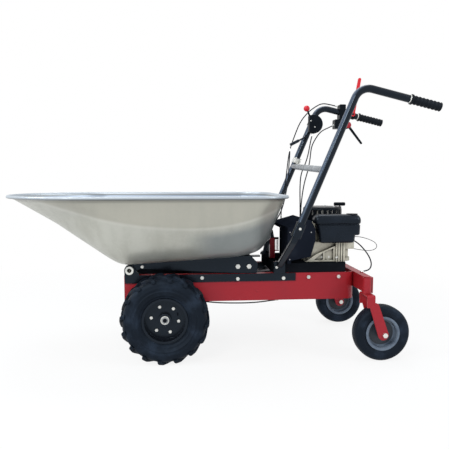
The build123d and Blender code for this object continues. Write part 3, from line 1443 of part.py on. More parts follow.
# Muffler: drum on the right behind the cylinder
with BuildPart() as muffler:
    with BuildSketch(side_plane(MUFFLER_Y[1])):
        with Locations(MUFFLER_SPOT):
            Circle(MUFFLER_R)
    extrude(amount=MUFFLER_Y[1] - MUFFLER_Y[0])
    fillet(muffler.edges().filter_by(GeomType.CIRCLE), 10)
    with BuildSketch(Plane.YZ.offset(EXHAUST_X[0])):
        with Locations((EXHAUST_Y, MUFFLER_SPOT[1])):
            Circle(EXHAUST_R)
    extrude(amount=EXHAUST_X[1] - EXHAUST_X[0])
    add(engine_block.part, mode=Mode.SUBTRACT)
write(muffler, "muffler")

# Recoil starter: rope out of the boss, and the T-shaped pull grip
rope_top = Vector(*ROPE_SPOT, RECOIL_TOP + 2)
with BuildPart() as starter_rope:
    with BuildSketch(Plane.XY.offset(RECOIL_TOP - 20)):
        with Locations(ROPE_SPOT):
            Circle(ROPE_R)
    extrude(amount=22 - GAP)
write(starter_rope, "starter_rope")

with BuildPart() as starter_grip:
    with BuildSketch(Plane.YZ.offset(rope_top.X - GRIP_BAR_LENGTH / 2)):
        with Locations((rope_top.Y, rope_top.Z + GRIP_BAR_R)):
            Circle(GRIP_BAR_R)
    extrude(amount=GRIP_BAR_LENGTH)
    fillet(starter_grip.edges().filter_by(GeomType.CIRCLE), 4)
    with BuildSketch(Plane.XY.offset(rope_top.Z)):
        with Locations(ROPE_SPOT):
            Circle(5.5)
    extrude(amount=9)
write(starter_grip, "starter_grip")

# Control cables, from the levers down to the engine and the latch, and the thin stop wire
CABLE_ROUTES = {
    "drive cable": (
        CABLE_R,
        [
            (607.4, 284, 1022),
            (560, 286, 1034),
            (528, 289, 1036),
            (499, 290, 1020),
            (466, 290, 996),
            (428, 288, 950),
            (399, 280, 880),
            (373, 270, 810),
            (356, 242, 700),
            (334, 200, 612),
            (315, 152, 550),
            (315, 152, 508.5),
        ],
    ),
    "brake cable": (
        CABLE_R,
        [
            (584, 268, 935),
            (566, 259, 926),
            (517, 245, 905),
            (485, 222, 868),
            (462, 205, 830),
            (450, 178, 770),
            (432, 140, 722),
            (407, 112, 660),
            (394, 102, 580),
            (392, 100, 520),
            (392, 100, 445.2),
        ],
    ),
    "throttle cable": (
        CABLE_R,
        [
            (478, 243, 892),
            (473, 242, 880),
            (464, 232, 850),
            (448, 205, 793),
            (425, 172, 745),
            (402, 150, 706),
            (393, 126, 640),
            (392, 110, 560),
            (392, 110, 445.2),
        ],
    ),
    "release cable": (
        CABLE_R,
        [
            (374, 257, 826),
            (374, 254, 796),
            (365, 232, 742),
            (352, 180, 680),
            (330, 130, 610),
            (302, 75, 548),
            (270, 25, 512),
            (250, 4, 486),
            (246, 0, 477),
        ],
    ),
    "engine cable": (
        CABLE_R,
        [
            (540.4, -70, 442),
            (556, -70, 442),
            (590, -84, 424),
            (622, -100, 385),
            (634, -118, 352),
            (624, -140, 330),
            (602, -156, 321),
            (574, -160, 319),
        ],
    ),
    "under-frame cable": (
        CABLE_R,
        [
            (-58, -136, 207.3),
            (-30, -138, 205),
            (10, -140, 201),
            (60, -141, 199),
            (136, -141, 198),
            (190, -140, 202),
            (228, -138, 206.6),
            (250, -136, 207.4),
        ],
    ),
    "stop wire": (
        WIRE_R,
        [
            (540.4, -48, 446),
            (560, -50, 448),
            (610, -72, 448),
            (660, -92, 428),
            (666, -96, 404),
            (638, -92, 391),
            (590, -74, 396),
            (560, -62, 402),
            (540.4, -60, 402),
        ],
    ),
}
with BuildPart() as control_cables:
    for route_name, (radius, points) in CABLE_ROUTES.items():
        add(cable(route_name, points, radius).part)
write(control_cables, "control_cables")
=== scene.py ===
# %% [markdown]
# # A petrol tipping cart
# The cart is a galvanised tub on a red folded chassis, with lugged drive wheels in front, an engine behind
# the tub, and two swivel casters under the handles. The CAD frame brings every solid to its place. This file
# gives the solids their finish, and makes anew what a solid can't show: pressed sheet, rubber, cables, wire.

# %% Load the frame
import json
import math

import bmesh
import bpy
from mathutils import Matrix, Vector
from mathutils.bvhtree import BVHTree


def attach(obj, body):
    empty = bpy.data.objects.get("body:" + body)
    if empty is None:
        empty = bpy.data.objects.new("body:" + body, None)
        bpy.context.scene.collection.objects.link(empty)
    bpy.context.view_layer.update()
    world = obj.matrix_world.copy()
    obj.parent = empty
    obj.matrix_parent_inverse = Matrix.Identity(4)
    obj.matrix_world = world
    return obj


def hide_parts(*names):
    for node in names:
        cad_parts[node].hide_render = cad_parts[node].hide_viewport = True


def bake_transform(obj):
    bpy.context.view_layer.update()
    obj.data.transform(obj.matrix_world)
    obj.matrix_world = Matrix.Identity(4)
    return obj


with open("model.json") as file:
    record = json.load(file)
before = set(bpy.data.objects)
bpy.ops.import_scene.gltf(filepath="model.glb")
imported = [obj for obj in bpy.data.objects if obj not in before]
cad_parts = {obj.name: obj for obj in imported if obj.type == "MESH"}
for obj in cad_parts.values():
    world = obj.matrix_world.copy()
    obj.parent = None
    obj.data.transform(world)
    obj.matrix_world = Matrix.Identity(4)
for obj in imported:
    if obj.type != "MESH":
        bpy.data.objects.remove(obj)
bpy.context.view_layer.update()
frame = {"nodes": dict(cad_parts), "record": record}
NODES = frame["nodes"]
MM = 0.001

# %% [markdown]
# ## The camera
# The eye stands level with the tub's rim, a little forward of the cart's middle, and looks slightly back and
# down. The picture is square, so one focal length in pixels fixes the lens on a 36 mm sensor.

# %% Camera
EYE = Vector((-0.1409, -2.1468, 0.6873))
LOOK_YAW = math.radians(5.02)
LOOK_PITCH = math.radians(5.06)
FOCAL_PIXELS = 521.7
PICTURE_PIXELS = 449
SENSOR = 36.0


def add_object(name, data):
    """Puts data, such as a camera or a mesh, into the scene as an object."""
    made = bpy.data.objects.new(name, data)
    bpy.context.scene.collection.objects.link(made)
    return made


camera_data = bpy.data.cameras.new("side_camera")
camera_data.sensor_fit = "HORIZONTAL"
camera_data.sensor_width = SENSOR
camera_data.lens = SENSOR * FOCAL_PIXELS / PICTURE_PIXELS
camera = add_object("side_camera", camera_data)
camera.location = EYE
camera.rotation_euler = (math.pi / 2 - LOOK_PITCH, 0.0, -LOOK_YAW)
bpy.context.scene.camera = camera
print("lens", round(camera_data.lens, 2))

# %% [markdown]
# ## Shader sums
# A finish is a formula: paint colour times grime, roughness plus noise. Wrapping a node's socket in a small
# class lets the formula be written as Python, and each operator adds one Math node.

# %% Sockets that add up


def operator(operation, swapped=False):
    """A Python operator between a wire and a wire or a number, which adds one Math node."""

    def add_node(self, other):
        first, second = (other, self) if swapped else (self, other)
        return self.node("ShaderNodeMath", {"operation": operation}, {0: first, 1: second})

    return add_node


class Wire:
    """A node's output that takes part in Python sums."""

    def __init__(self, tree, socket):
        self.tree = tree
        self.socket = socket

    def node(self, kind, settings=None, sockets=None, out=0):
        """Any other node: its type, then its settings, then its sockets by name or number."""
        made = self.tree.nodes.new(kind)
        for key, value in (settings or {}).items():
            setattr(made, key, value)
        for key, value in (sockets or {}).items():
            plug(self.tree, made.inputs[key], value)
        return Wire(self.tree, made.outputs[out])

    __add__, __radd__ = operator("ADD"), operator("ADD", swapped=True)
    __sub__, __rsub__ = operator("SUBTRACT"), operator("SUBTRACT", swapped=True)
    __mul__, __rmul__ = operator("MULTIPLY"), operator("MULTIPLY", swapped=True)
    __pow__ = operator("POWER")


def plug(tree, socket, value):
    """Links a wire to a socket, or sets the socket to a plain value."""
    if isinstance(value, Wire):
        tree.links.new(value.socket, socket)
    elif socket.type == "RGBA":
        socket.default_value = (*value, 1.0)
    else:
        socket.default_value = value


def linear(red, green, blue):
    """A colour on the 0 to 255 scale of a screen, as the light that it stands for in the sRGB standard."""

    def light(level):
        share = level / 255
        return share / 12.92 if share < 0.04 else ((share + 0.055) / 1.055) ** 2.4

    return light(red), light(green), light(blue)


print("wires ready")

# %% [markdown]
# ## A finish
# A finish holds one material's shader, and the wires that its formulas start from: the place on the piece and
# the way its surface faces. Its helpers name what the formulas need, such as noise, worn edges and corners.

# %% Finish helpers
# How far a rounded normal leans from the true one where an edge starts, and where it is sharpest
EDGE_LEAN = (0.02, 0.2)


class Finish:
    """One material."""

    def __init__(self, name, roughness=0.5, metallic=0.0, shine=0.5, tint=(1.0, 1.0, 1.0)):
        self.material = bpy.data.materials.new(name)
        self.material.use_nodes = True
        self.tree = self.material.node_tree
        self.shader = self.tree.nodes["Principled BSDF"]
        self.feed("Roughness", roughness)
        self.feed("Metallic", metallic)
        self.feed("Specular IOR Level", shine)
        self.feed("Specular Tint", tint)
        place = self.tree.nodes.new("ShaderNodeTexCoord")
        self.place = Wire(self.tree, place.outputs["Object"])
        self.facing = Wire(self.tree, place.outputs["Normal"])
        self.node = self.place.node

    def parts(self, vector):
        """The x, y and z of a vector."""
        split = self.tree.nodes.new("ShaderNodeSeparateXYZ")
        plug(self.tree, split.inputs["Vector"], vector)
        return [Wire(self.tree, end) for end in split.outputs]

    def feed(self, socket, value):
        """Gives the shader a wire or a plain value."""
        plug(self.tree, self.shader.inputs[socket], value)

    def stretched(self, scale):
        """The place on the piece, stretched by a scale on each axis."""
        settings = {"vector_type": "POINT"}
        return self.node("ShaderNodeMapping", settings, {"Vector": self.place, "Scale": scale})

    def noise(self, scale, detail=4.0, rough=0.55, place=None):
        sockets = {"Vector": place or self.place, "Scale": scale, "Detail": detail, "Roughness": rough}
        return self.node("ShaderNodeTexNoise", {}, sockets)

    def window(self, value, low, high):
        """0 below low, 1 above high, and smooth between."""
        sockets = {"Value": value, "From Min": low, "From Max": high}
        return self.node("ShaderNodeMapRange", {"interpolation_type": "SMOOTHSTEP"}, sockets)

    def blend(self, share, first, second):
        """A colour between two others."""
        sockets = {0: share, 6: first, 7: second}
        return self.node("ShaderNodeMix", {"data_type": "RGBA"}, sockets, out=2)

    def soft_edges(self, radius):
        """The surface's normal with each hard edge rounded by a radius in metres."""
        return self.node("ShaderNodeBevel", {"samples": 4}, {"Radius": radius})

    def edges(self, rounded):
        """Near 1 along an edge, and 0 on flat faces: how far the rounded normal leans from the true one."""
        true = self.node("ShaderNodeNewGeometry", out="True Normal")
        settings = {"operation": "DOT_PRODUCT"}
        lean = self.node("ShaderNodeVectorMath", settings, {0: rounded, 1: true}, out="Value")
        return self.window(1.0 - lean, *EDGE_LEAN)

    def corners(self, reach):
        """Near 1 in the corners between faces, and 0 in the open."""
        settings = {"samples": 8, "only_local": True}
        return 1.0 - self.node("ShaderNodeAmbientOcclusion", settings, {"Distance": reach}, out="AO")

    def bump(self, height, distance, strength, normal=None):
        sockets = {"Height": height, "Distance": distance, "Strength": strength}
        if normal is not None:
            sockets["Normal"] = normal
        self.feed("Normal", self.node("ShaderNodeBump", {}, sockets))


print("finish helpers ready")

# %% [markdown]
# ## Paint
# The chassis is sprayed red and the handles are powder-coated black. Sprayed paint is never quite even: it
# dulls in patches, gathers dust, thins on corners, and has the fine orange-peel of a spray gun. One function
# makes every paint from three colours: clean, worn and dusty. The chassis's inner faces, which show through
# the gap under the tub's rails, are painted near black as shade, and a painted highlight lightens the front
# of the tubes.

# %% Painted steel
COLD_GLOSS = (0.62, 0.8, 1.0)
# How fine the noise is: dull patches, rubbed edges, specks of dust, and orange peel
PATCHES, RUBS, SPECKS, PEEL = 7.0, 45.0, 160.0, 420.0
PAINT_EDGE_R = 0.0018
# The square of the distance from the cart's middle plane at which the painted shade on the inner faces ends
INNER_SHADE_TO = (0.0228, 0.0232)
# The way that the front of the sloping tubes faces, along X and Z
TUBE_FRONT = (-0.86, 0.5)


def painted(name, colour, worn, dust, roughness, shine, inner_shade=None, front_highlight=None):
    paint = Finish(name, roughness, shine=shine, tint=COLD_GLOSS)
    rounded = paint.soft_edges(PAINT_EDGE_R)
    patches = paint.noise(PATCHES, 5.0)
    specks = paint.noise(SPECKS, 3.0)
    rub = paint.edges(rounded) * paint.window(paint.noise(RUBS), 0.42, 0.62)
    body = paint.blend(paint.window(patches, 0.35, 0.75) * 0.55, linear(*colour), linear(*dust))
    body = paint.blend(rub * 0.45, body, linear(*worn))
    # Painted shade: the chassis's inner faces near its middle turn near black
    if inner_shade:
        _, y, _ = paint.parts(paint.place)
        _, face_y, _ = paint.parts(paint.facing)
        shaded_inner_face = paint.window(-1.0 * (y * face_y), 0.02, 0.08)
        body = paint.blend(shaded_inner_face * (1.0 - paint.window(y * y, *INNER_SHADE_TO)), body, linear(*inner_shade))
    # Painted highlight: faces turned to the front and up are lightened
    if front_highlight:
        face_x, _, face_z = paint.parts(paint.facing)
        highlight_share = paint.window(face_x * TUBE_FRONT[0] + face_z * TUBE_FRONT[1], 0.3, 0.8)
        body = paint.blend(highlight_share * 0.7, body, linear(*front_highlight))
    paint.feed("Base Color", body)
    paint.feed("Roughness", roughness + (patches - 0.5) * 0.22 + (specks - 0.5) * 0.08)
    paint.bump(paint.noise(PEEL, 2.0), 0.0004, 0.12, rounded)
    return paint.material


# Material, clean, worn and dusty colour, roughness, shine, painted shade on the inner faces, and painted
# highlight on the front
PAINTS = {
    # The red paint's last colour is painted shade on the chassis's inner faces
    "red_paint": ("red_enamel", (156, 28, 34), (186, 80, 78), (142, 32, 38), 0.4, 0.35, (14, 15, 18)),
    "black_paint": ("black_powder_coat", (10, 12, 18), (60, 65, 73), (19, 22, 29), 0.2, 0.3),
    # The tubes' last colour is a painted highlight on their front
    "tube_paint": (
        "powder_coat_front_highlight", (10, 12, 18), (60, 65, 73), (19, 22, 29), 0.2, 0.3, None, (82, 93, 110),
    ),
    "gearbox_cast": ("painted_casting", (50, 53, 57), (104, 105, 105), (64, 67, 70), 0.55, 0.3),
    "rim_grey": ("grey_wheel_paint", (108, 119, 130), (160, 165, 168), (88, 98, 109), 0.42, 0.4),
}
FINISHES = {finish: painted(*row) for finish, row in PAINTS.items()}
print("paints", sorted(FINISHES))

# %% [markdown]
# ## Bare metal
# Zinc plate, turned steel and cast alloy differ in how far they scatter light. Plate is pale and a little
# cloudy, a turned shaft is bright, and a sand casting is matt and grainy, with painted shade in its corners.
# The muffler's steel is burnt brown by the heat. One function makes them all: noise blends two tones, and an
# Ambient Occlusion node finds the corners that the painted shade darkens.

# %% Plate, turned steel and castings
METAL_SHARE = 0.85
METAL_EDGE_R = 0.0012
METAL_CLOUDS = 24.0
CORNER_SHADE_REACH = 0.02


def metal(name, bright, dull, roughness, grain, depth, corner_shade=None):
    plate = Finish(name, roughness, METAL_SHARE)
    rounded = plate.soft_edges(METAL_EDGE_R)
    cloud = plate.noise(METAL_CLOUDS, 5.0)
    body = plate.blend(plate.window(cloud, 0.3, 0.7), linear(*dull), linear(*bright))
    # Painted shade: corners that the Ambient Occlusion node finds turn dark
    if corner_shade:
        body = plate.blend(plate.window(plate.corners(CORNER_SHADE_REACH), 0.2, 0.75), body, linear(*corner_shade))
    plate.feed("Base Color", body)
    plate.feed("Roughness", roughness + (cloud - 0.5) * 0.3)
    plate.bump(plate.noise(grain, 3.0), depth, 0.35, rounded)
    return plate.material


# Material, bright and dull colour, roughness, how fine the grain is and how deep, and the painted shade in
# corners
METALS = {
    "zinc": ("zinc_plate", (232, 232, 226), (196, 198, 196), 0.34, 300.0, 0.0003),
    "shaft_steel": ("turned_steel", (190, 192, 194), (140, 143, 147), 0.32, 500.0, 0.0002),
    "aged_zinc": ("aged_zinc", (164, 169, 173), (112, 117, 122), 0.4, 300.0, 0.0003),
    "burnt_steel": ("burnt_steel", (128, 122, 112), (86, 80, 74), 0.5, 260.0, 0.0004),
    # The cast alloy's last colour is painted shade in its corners
    "alloy": ("cast_alloy", (204, 202, 188), (164, 161, 149), 0.55, 130.0, 0.0012, (30, 29, 27)),
}
for finish, row in METALS.items():
    FINISHES[finish] = metal(*row)
print("metals", sorted(METALS))

# %% [markdown]
# ## Galvanised sheet
# The tub is dipped in zinc after pressing. The zinc freezes in flat crystals, the spangle, and runs down in
# faint upright streaks as the sheet is lifted out. Voronoi cells stand for the crystals, and a noise that is
# stretched along Z stands for the runs. The inside has a colder, bluer tone than the outside: a painted
# reflection of the sky. The two are told apart by whether the sheet faces the tub's middle. Painted shade
# darkens the belly, a painted shadow lies under the rolled rim, and the band above the crease is painted a
# little darker as shade. A painted highlight runs along the crease, and the roll is painted light on top and
# dark below.

# %% Galvanised sheet
TUB_MIDDLE_X = -0.27
# The crease rises as the square of the distance from its lowest place, and faster behind than in front
CREASE_LOW_X = -0.09
BEND_IN_FRONT = 0.335
BEND_MORE_BEHIND = 0.355
# Heights over the crease's rise at which the belly's painted shade, the crease's painted highlight and the
# upper band's painted shade start and end
BELLY_SHADE_Z = (0.46, 0.506)
LEDGE_HIGHLIGHT_Z = (0.494, 0.504, 0.514)
BAND_SHADE_Z = (0.5, 0.512)
BELLY_SHADE_X = (-0.14, 0.0)
UNDER_RIM_SHADOW_Z = (0.598, 0.606)
RIM_Z = (0.608, 0.612)
RIM_TOP_HIGHLIGHT_Z = (0.612, 0.618)
# Colours: the plain sheet, painted shade on the band above the crease, the zinc runs, a painted highlight on
# the crease, painted shade on the belly, a painted shadow under the rim, the roll painted dark below and
# light on top, and a painted sky reflection inside
BELOW, ABOVE_CREASE_SHADE, RUN = linear(182, 182, 173), linear(170, 168, 157), linear(160, 159, 149)
LEDGE_HIGHLIGHT, BELLY_SHADE, UNDER_RIM_SHADOW = linear(196, 195, 187), linear(106, 114, 117), linear(124, 124, 117)
RIM_UNDERSIDE_SHADE, RIM_TOP_HIGHLIGHT, INSIDE_SKY_REFLECTION = linear(116, 118, 118), linear(172, 180, 187), linear(142, 154, 170)
SPANGLE = 130.0
RUN_STRETCH = (26.0, 26.0, 1.6)

sheet = Finish("galvanised_sheet", 0.4, 0.45)
cells = {"Vector": sheet.place, "Scale": SPANGLE}
crystals = sheet.node("ShaderNodeTexVoronoi", {}, cells, out="Color")
crystal_tone = sheet.node("ShaderNodeSeparateColor", {}, {"Color": crystals})
runs = sheet.noise(1.0, 4.0, 0.5, sheet.stretched(RUN_STRETCH))
clouds = sheet.noise(4.0, 3.0)
tone = runs * 0.4 + clouds * 0.55 + crystal_tone * 0.05
x, y, z = sheet.parts(sheet.place)
face_x, face_y, face_z = sheet.parts(sheet.facing)
outward = face_x * (x - TUB_MIDDLE_X) + face_y * y - face_z * 0.25
inside = 1.0 - sheet.window(outward, -0.02, 0.02)
rim = sheet.window(z, *RIM_Z)
along = x - CREASE_LOW_X
bend = BEND_IN_FRONT + BEND_MORE_BEHIND * sheet.window(along, -0.01, 0.01)
over_crease = z - bend * along * along
# Painted shade on the belly and on the band above the crease, and a painted highlight along the crease
belly_shade = (1.0 - sheet.window(over_crease, *BELLY_SHADE_Z)) * sheet.window(x, *BELLY_SHADE_X)
ledge_highlight = sheet.window(over_crease, *LEDGE_HIGHLIGHT_Z[:2]) * (1.0 - sheet.window(over_crease, *LEDGE_HIGHLIGHT_Z[1:]))
band_shaded = sheet.blend(sheet.window(over_crease, *BAND_SHADE_Z), BELOW, ABOVE_CREASE_SHADE)
streaked = sheet.blend(sheet.window(tone, 0.4, 0.66) * 0.6, band_shaded, RUN)
creased = sheet.blend(ledge_highlight * 0.36, streaked, LEDGE_HIGHLIGHT)
outside = sheet.blend(belly_shade * 0.75, creased, BELLY_SHADE)
# Painted shadow under the rim, the roll painted dark below and light on top, and a painted sky reflection
# inside
shaded = sheet.blend(sheet.window(z, *UNDER_RIM_SHADOW_Z) * 0.5, outside, UNDER_RIM_SHADOW)
rolled = sheet.blend(sheet.window(z, *RIM_TOP_HIGHLIGHT_Z), RIM_UNDERSIDE_SHADE, RIM_TOP_HIGHLIGHT)
sheet.feed("Base Color", sheet.blend(inside * (1.0 - rim), sheet.blend(rim, shaded, rolled), INSIDE_SKY_REFLECTION))
sheet.feed("Roughness", 0.28 + tone * 0.16)
sheet.bump(runs, 0.0006, 0.06)
FINISHES["galvanised"] = sheet.material
print("galvanised sheet ready")

# %% [markdown]
# ## Plastic and rubber
# Mouldings have a fine grain from the tool. Rubber is duller, and a tyre carries pale dust, with its colours
# tinted blue as a painted sky sheen. The rope is dull too: its lay is in its mesh. The grain is too fine to
# be modelled, so it is a bump of small noise.

# %% Mouldings, rubber and rope
PLASTIC_CLOUDS = 14.0


def moulded(name, colour, pale, roughness, shine, grain, edge):
    plastic = Finish(name, roughness, shine=shine, tint=COLD_GLOSS)
    rounded = plastic.soft_edges(edge)
    cloud = plastic.noise(PLASTIC_CLOUDS, 5.0)
    body = plastic.blend(plastic.window(cloud, 0.42, 0.78), linear(*colour), linear(*pale))
    plastic.feed("Base Color", body)
    plastic.feed("Roughness", roughness + (cloud - 0.5) * 0.2)
    plastic.bump(plastic.noise(grain, 2.0), 0.0005, 0.25, rounded)
    return plastic.material


# Material, colour and pale colour, roughness, shine, how fine the grain is, and how far edges are rounded
MOULDINGS = {
    "black_plastic": ("black_moulding", (9, 11, 15), (16, 19, 25), 0.34, 0.1, 620.0, 0.0025),
    "dull_plastic": ("dull_moulding", (27, 31, 40), (35, 40, 49), 0.6, 0.0, 620.0, 0.0025),
    "dull_paint": ("dull_black", (22, 24, 28), (30, 32, 37), 0.6, 0.0, 420.0, 0.0025),
    "tank_plastic": ("glossy_moulding", (13, 16, 23), (19, 23, 31), 0.26, 0.26, 620.0, 0.006),
    "red_plastic": ("red_moulding", (206, 26, 34), (188, 34, 40), 0.3, 0.4, 400.0, 0.0015),
    "rubber": ("black_rubber", (12, 13, 17), (22, 24, 29), 0.55, 0.15, 260.0, 0.001),
    # The tyre's colours are tinted blue as a painted sky sheen, and its pale clouds are dust
    "tyre": ("tyre_rubber", (15, 20, 28), (38, 47, 60), 0.58, 0.16, 210.0, 0.0012),
    "rope": ("woven_cord", (34, 34, 36), (58, 58, 60), 0.85, 0.2, 900.0, 0.0005),
}
for finish, row in MOULDINGS.items():
    FINISHES[finish] = moulded(*row)
print("mouldings", sorted(MOULDINGS))

# %% [markdown]
# ## Caster rims
# The caster's pressed rim is pale outside, and dark where the disc is drawn in. The distance from the axle
# tells the two apart.

# %% Caster rims
CASTER_X = 619.0
CASTER_R = 106.0
DARK_DISC_R = (0.046, 0.049)
DARK_DISC, PALE_RIM, WORN_RIM = linear(46, 52, 60), linear(104, 116, 130), linear(84, 96, 112)
disc = Finish("caster_rim_paint", 0.42, shine=0.35)
disc_x, _, disc_z = disc.parts(disc.place)
from_axle = ((disc_x - CASTER_X * MM) ** 2.0 + (disc_z - CASTER_R * MM) ** 2.0) ** 0.5
worn_share = disc.window(disc.noise(30.0), 0.4, 0.7)
outer_rim = disc.blend(worn_share, PALE_RIM, WORN_RIM)
disc.feed("Base Color", disc.blend(disc.window(from_axle, *DARK_DISC_R), DARK_DISC, outer_rim))
disc.bump(disc.noise(300.0, 2.0), 0.0004, 0.1, disc.soft_edges(0.0015))
FINISHES["caster_rim"] = disc.material
print("finishes", sorted(FINISHES))

# %% [markdown]
# ## Dressing the solids
# Each CAD node names its finish in the record. Round solids come as many small flats, so every node is shaded
# smooth, and edges sharper than a set angle are kept sharp.

# %% Finish on every solid
SHARP = math.radians(32)
# Nodes whose finish differs from that of the others in their slot
OWN_FINISH = {
    "left_handlebar": "tube_paint",
    "right_handlebar": "tube_paint",
    "engine_guard": "dull_plastic",
    "cross_bar": "aged_zinc",
    "muffler": "burnt_steel",
    "left_caster_rim": "caster_rim",
    "right_caster_rim": "caster_rim",
}
for subpart in frame["record"]["subparts"]:
    node = NODES[subpart["node"]]
    node.data.materials.clear()
    node.data.materials.append(FINISHES[OWN_FINISH.get(subpart["node"], subpart["material_slot"])])
    node.data.shade_smooth()
    node.data.set_sharp_from_angle(angle=SHARP)
print("dressed", len(NODES), "nodes")

# %% [markdown]
# ## Making a piece
# A new piece is a list of points in millimetres and a list of faces. Turned pieces come from rings about an
# axis, and lofted ones from rings that follow each other. A helper joins the rings, and another makes an
# object of the lists, which rides on its body and stands for the plain solid.

# %% Mesh helpers


def band(rings, loop=True, join_ends=False, caps=False):
    """Faces between rings of the same number of points."""
    count = len(rings[0])
    verts = [point for ring in rings for point in ring]
    faces = []
    last = len(rings) if join_ends else len(rings) - 1
    for row in range(last):
        here, there = row * count, ((row + 1) % len(rings)) * count
        for i in range(count if loop else count - 1):
            j = (i + 1) % count
            faces.append((here + i, here + j, there + j, there + i))
    if caps:
        faces.append(tuple(range(count)))
        faces.append(tuple(range(len(verts) - count, len(verts))))
    return verts, faces


def circle(middle, across, up, radius, steps):
    angles = [2 * math.pi * i / steps for i in range(steps)]
    return [middle + (across * math.cos(a) + up * math.sin(a)) * radius for a in angles]


def turned(profile, centre, axis, steps, join_ends=False, caps=False):
    """Rings about an axis, from pairs of radius and distance along it."""
    axis = Vector(axis).normalized()
    across = axis.orthogonal().normalized()
    up = axis.cross(across)
    rings = []
    for radius, distance in profile:
        rings.append(circle(Vector(centre) + axis * distance, across, up, radius, steps))
    return band(rings, True, join_ends, caps)


def merged(*parts):
    """Several shapes as one."""
    verts, faces = [], []
    for more_verts, more_faces in parts:
        start = len(verts)
        verts += list(more_verts)
        faces += [tuple(start + i for i in face) for face in more_faces]
    return verts, faces


def new_mesh(name, shape, sharp=40.0):
    """An object of the points and faces, with its normals facing out."""
    verts, faces = shape
    mesh = bpy.data.meshes.new(name)
    mesh.from_pydata([Vector(v) * MM for v in verts], [], faces)
    work = bmesh.new()
    work.from_mesh(mesh)
    bmesh.ops.recalc_face_normals(work, faces=work.faces)
    work.to_mesh(mesh)
    work.free()
    mesh.shade_smooth()
    mesh.set_sharp_from_angle(angle=math.radians(sharp))
    return add_object(name, mesh)


def dress(made, slot, *stands_for, finish=None):
    """Gives a new piece its finish, and hides the solids that it stands for."""
    made.data.materials.append(FINISHES[finish or slot])
    if stands_for:
        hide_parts(*stands_for)
    return made


def piece(name, shape, body, slot, *stands_for, sharp=40.0, finish=None):
    """A finished piece that rides on one body."""
    made = dress(new_mesh(name, shape, sharp), slot, *stands_for, finish=finish)
    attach(made, body)
    print(name, len(shape[0]), "points")


print("mesh helpers ready")

# %% [markdown]
# ## The tub
# The tub is pressed from one sheet: a flat floor, a bowl that opens towards the rim, a soft crease where the
# upper band starts, and a rolled edge. The solid has five flat-sided levels. Here they are the control points
# of a curve, so that the bowl runs smoothly, and only the corner at the crease is tight. The crease dips
# lowest near the tub's middle and climbs towards the rim at both ends.

# %% Levels of the tub
# Front end x and z, rear end x and z, half width, front and rear corner radius, and share of the crease's
# climb, from the floor to the rim
TUB_LEVELS = (
    (-352, 357.5, 142, 387.5, 164, 34, 95, 0),
    (-385, 372.5, 180, 407, 210, 62, 105, 0),
    (-471, 424.5, 207, 450, 254, 150, 115, 0),
    (-626, 516, 225, 520, 292, 282, 120, 1),
    (-795, 616, 261, 616, 306, 298, 115, 0),
)
# How far each corner between two runs of the wall is rounded, as a share of the runs beside it
ROUNDING = (0.4, 0.45, 0.5, 0.1)
# The crease's lowest place (x, z), and how far it has climbed at a distance behind and in front of that
CREASE_LOW = (-90.0, 507.0)
CREASE_BEHIND = (170.0, 20.0)
CREASE_IN_FRONT = (430.0, 62.0)
CREASE_LEVEL_Z = 518.0
CREASE_MOST = 42.0
FLOOR_INSET = 40.0
WALL_STEPS = 8
# The share of the last run that the wall climbs before the roll takes over
LAST_RUN = 0.9


def between(first, second, share):
    return tuple(a + (b - a) * share for a, b in zip(first, second))


def floor_level(inset):
    """The floor's outline moved in by a distance, on the floor's own slope."""
    front_x, front_z, rear_x, rear_z, half, front_r, rear_r, climb = TUB_LEVELS[0]
    slope = (rear_z - front_z) / (rear_x - front_x)
    shrink = (half - inset) / half
    front = (front_x + inset, front_z + slope * inset)
    rear = (rear_x - inset, rear_z - slope * inset)
    return (*front, *rear, half - inset, front_r * shrink, rear_r * shrink, climb)


def crease_lift(x):
    """How far the crease lies above its level at a place along the tub."""
    low_x, low_z = CREASE_LOW
    if x > low_x:
        distance, rise = CREASE_BEHIND
        climb = rise * ((x - low_x) / distance) ** 2
    else:
        distance, rise = CREASE_IN_FRONT
        climb = rise * ((low_x - x) / distance) ** 1.5
    return min(low_z + climb - CREASE_LEVEL_Z, CREASE_MOST)


def tub_levels(steps):
    """Levels up the wall to just under the roll: straight runs with a curve at each corner."""
    controls = [floor_level(FLOOR_INSET), *TUB_LEVELS]
    levels, last = [], controls[0]
    for before, corner, after, share in zip(controls, controls[1:], controls[2:], ROUNDING):
        start, end = between(corner, before, share), between(corner, after, share)
        levels += [between(last, start, i / steps) for i in range(steps)]
        for i in range(steps):
            along = i / steps
            levels.append(between(between(start, corner, along), between(corner, end, along), along))
        last = end
    levels += [between(last, controls[-1], LAST_RUN * i / steps) for i in range(steps + 1)]
    return levels


walls = tub_levels(WALL_STEPS)
print("levels", len(walls))

# %% [markdown]
# ## Round the tub
# At each level the tub is a rectangle with round corners. The points keep the direction out, so that the
# wall's thickness and the roll can follow it. The crease lies in the sides and fades out round the corners.

# %% Outline at a level
CORNER_STEPS = 14
SIDE_STEPS = (44, 12, 44, 12)
# The sine of a wall's direction at which the crease starts, and from there to where it is full
SIDE_FROM, SIDE_SPAN = 0.3, 0.6


def quarter_arc(x, y, radius, start, steps):
    """A quarter circle about a centre: x, y and the direction out."""
    angles = [start + 0.5 * math.pi * i / steps for i in range(steps + 1)]
    return [(x + radius * math.cos(a), y + radius * math.sin(a), a) for a in angles]


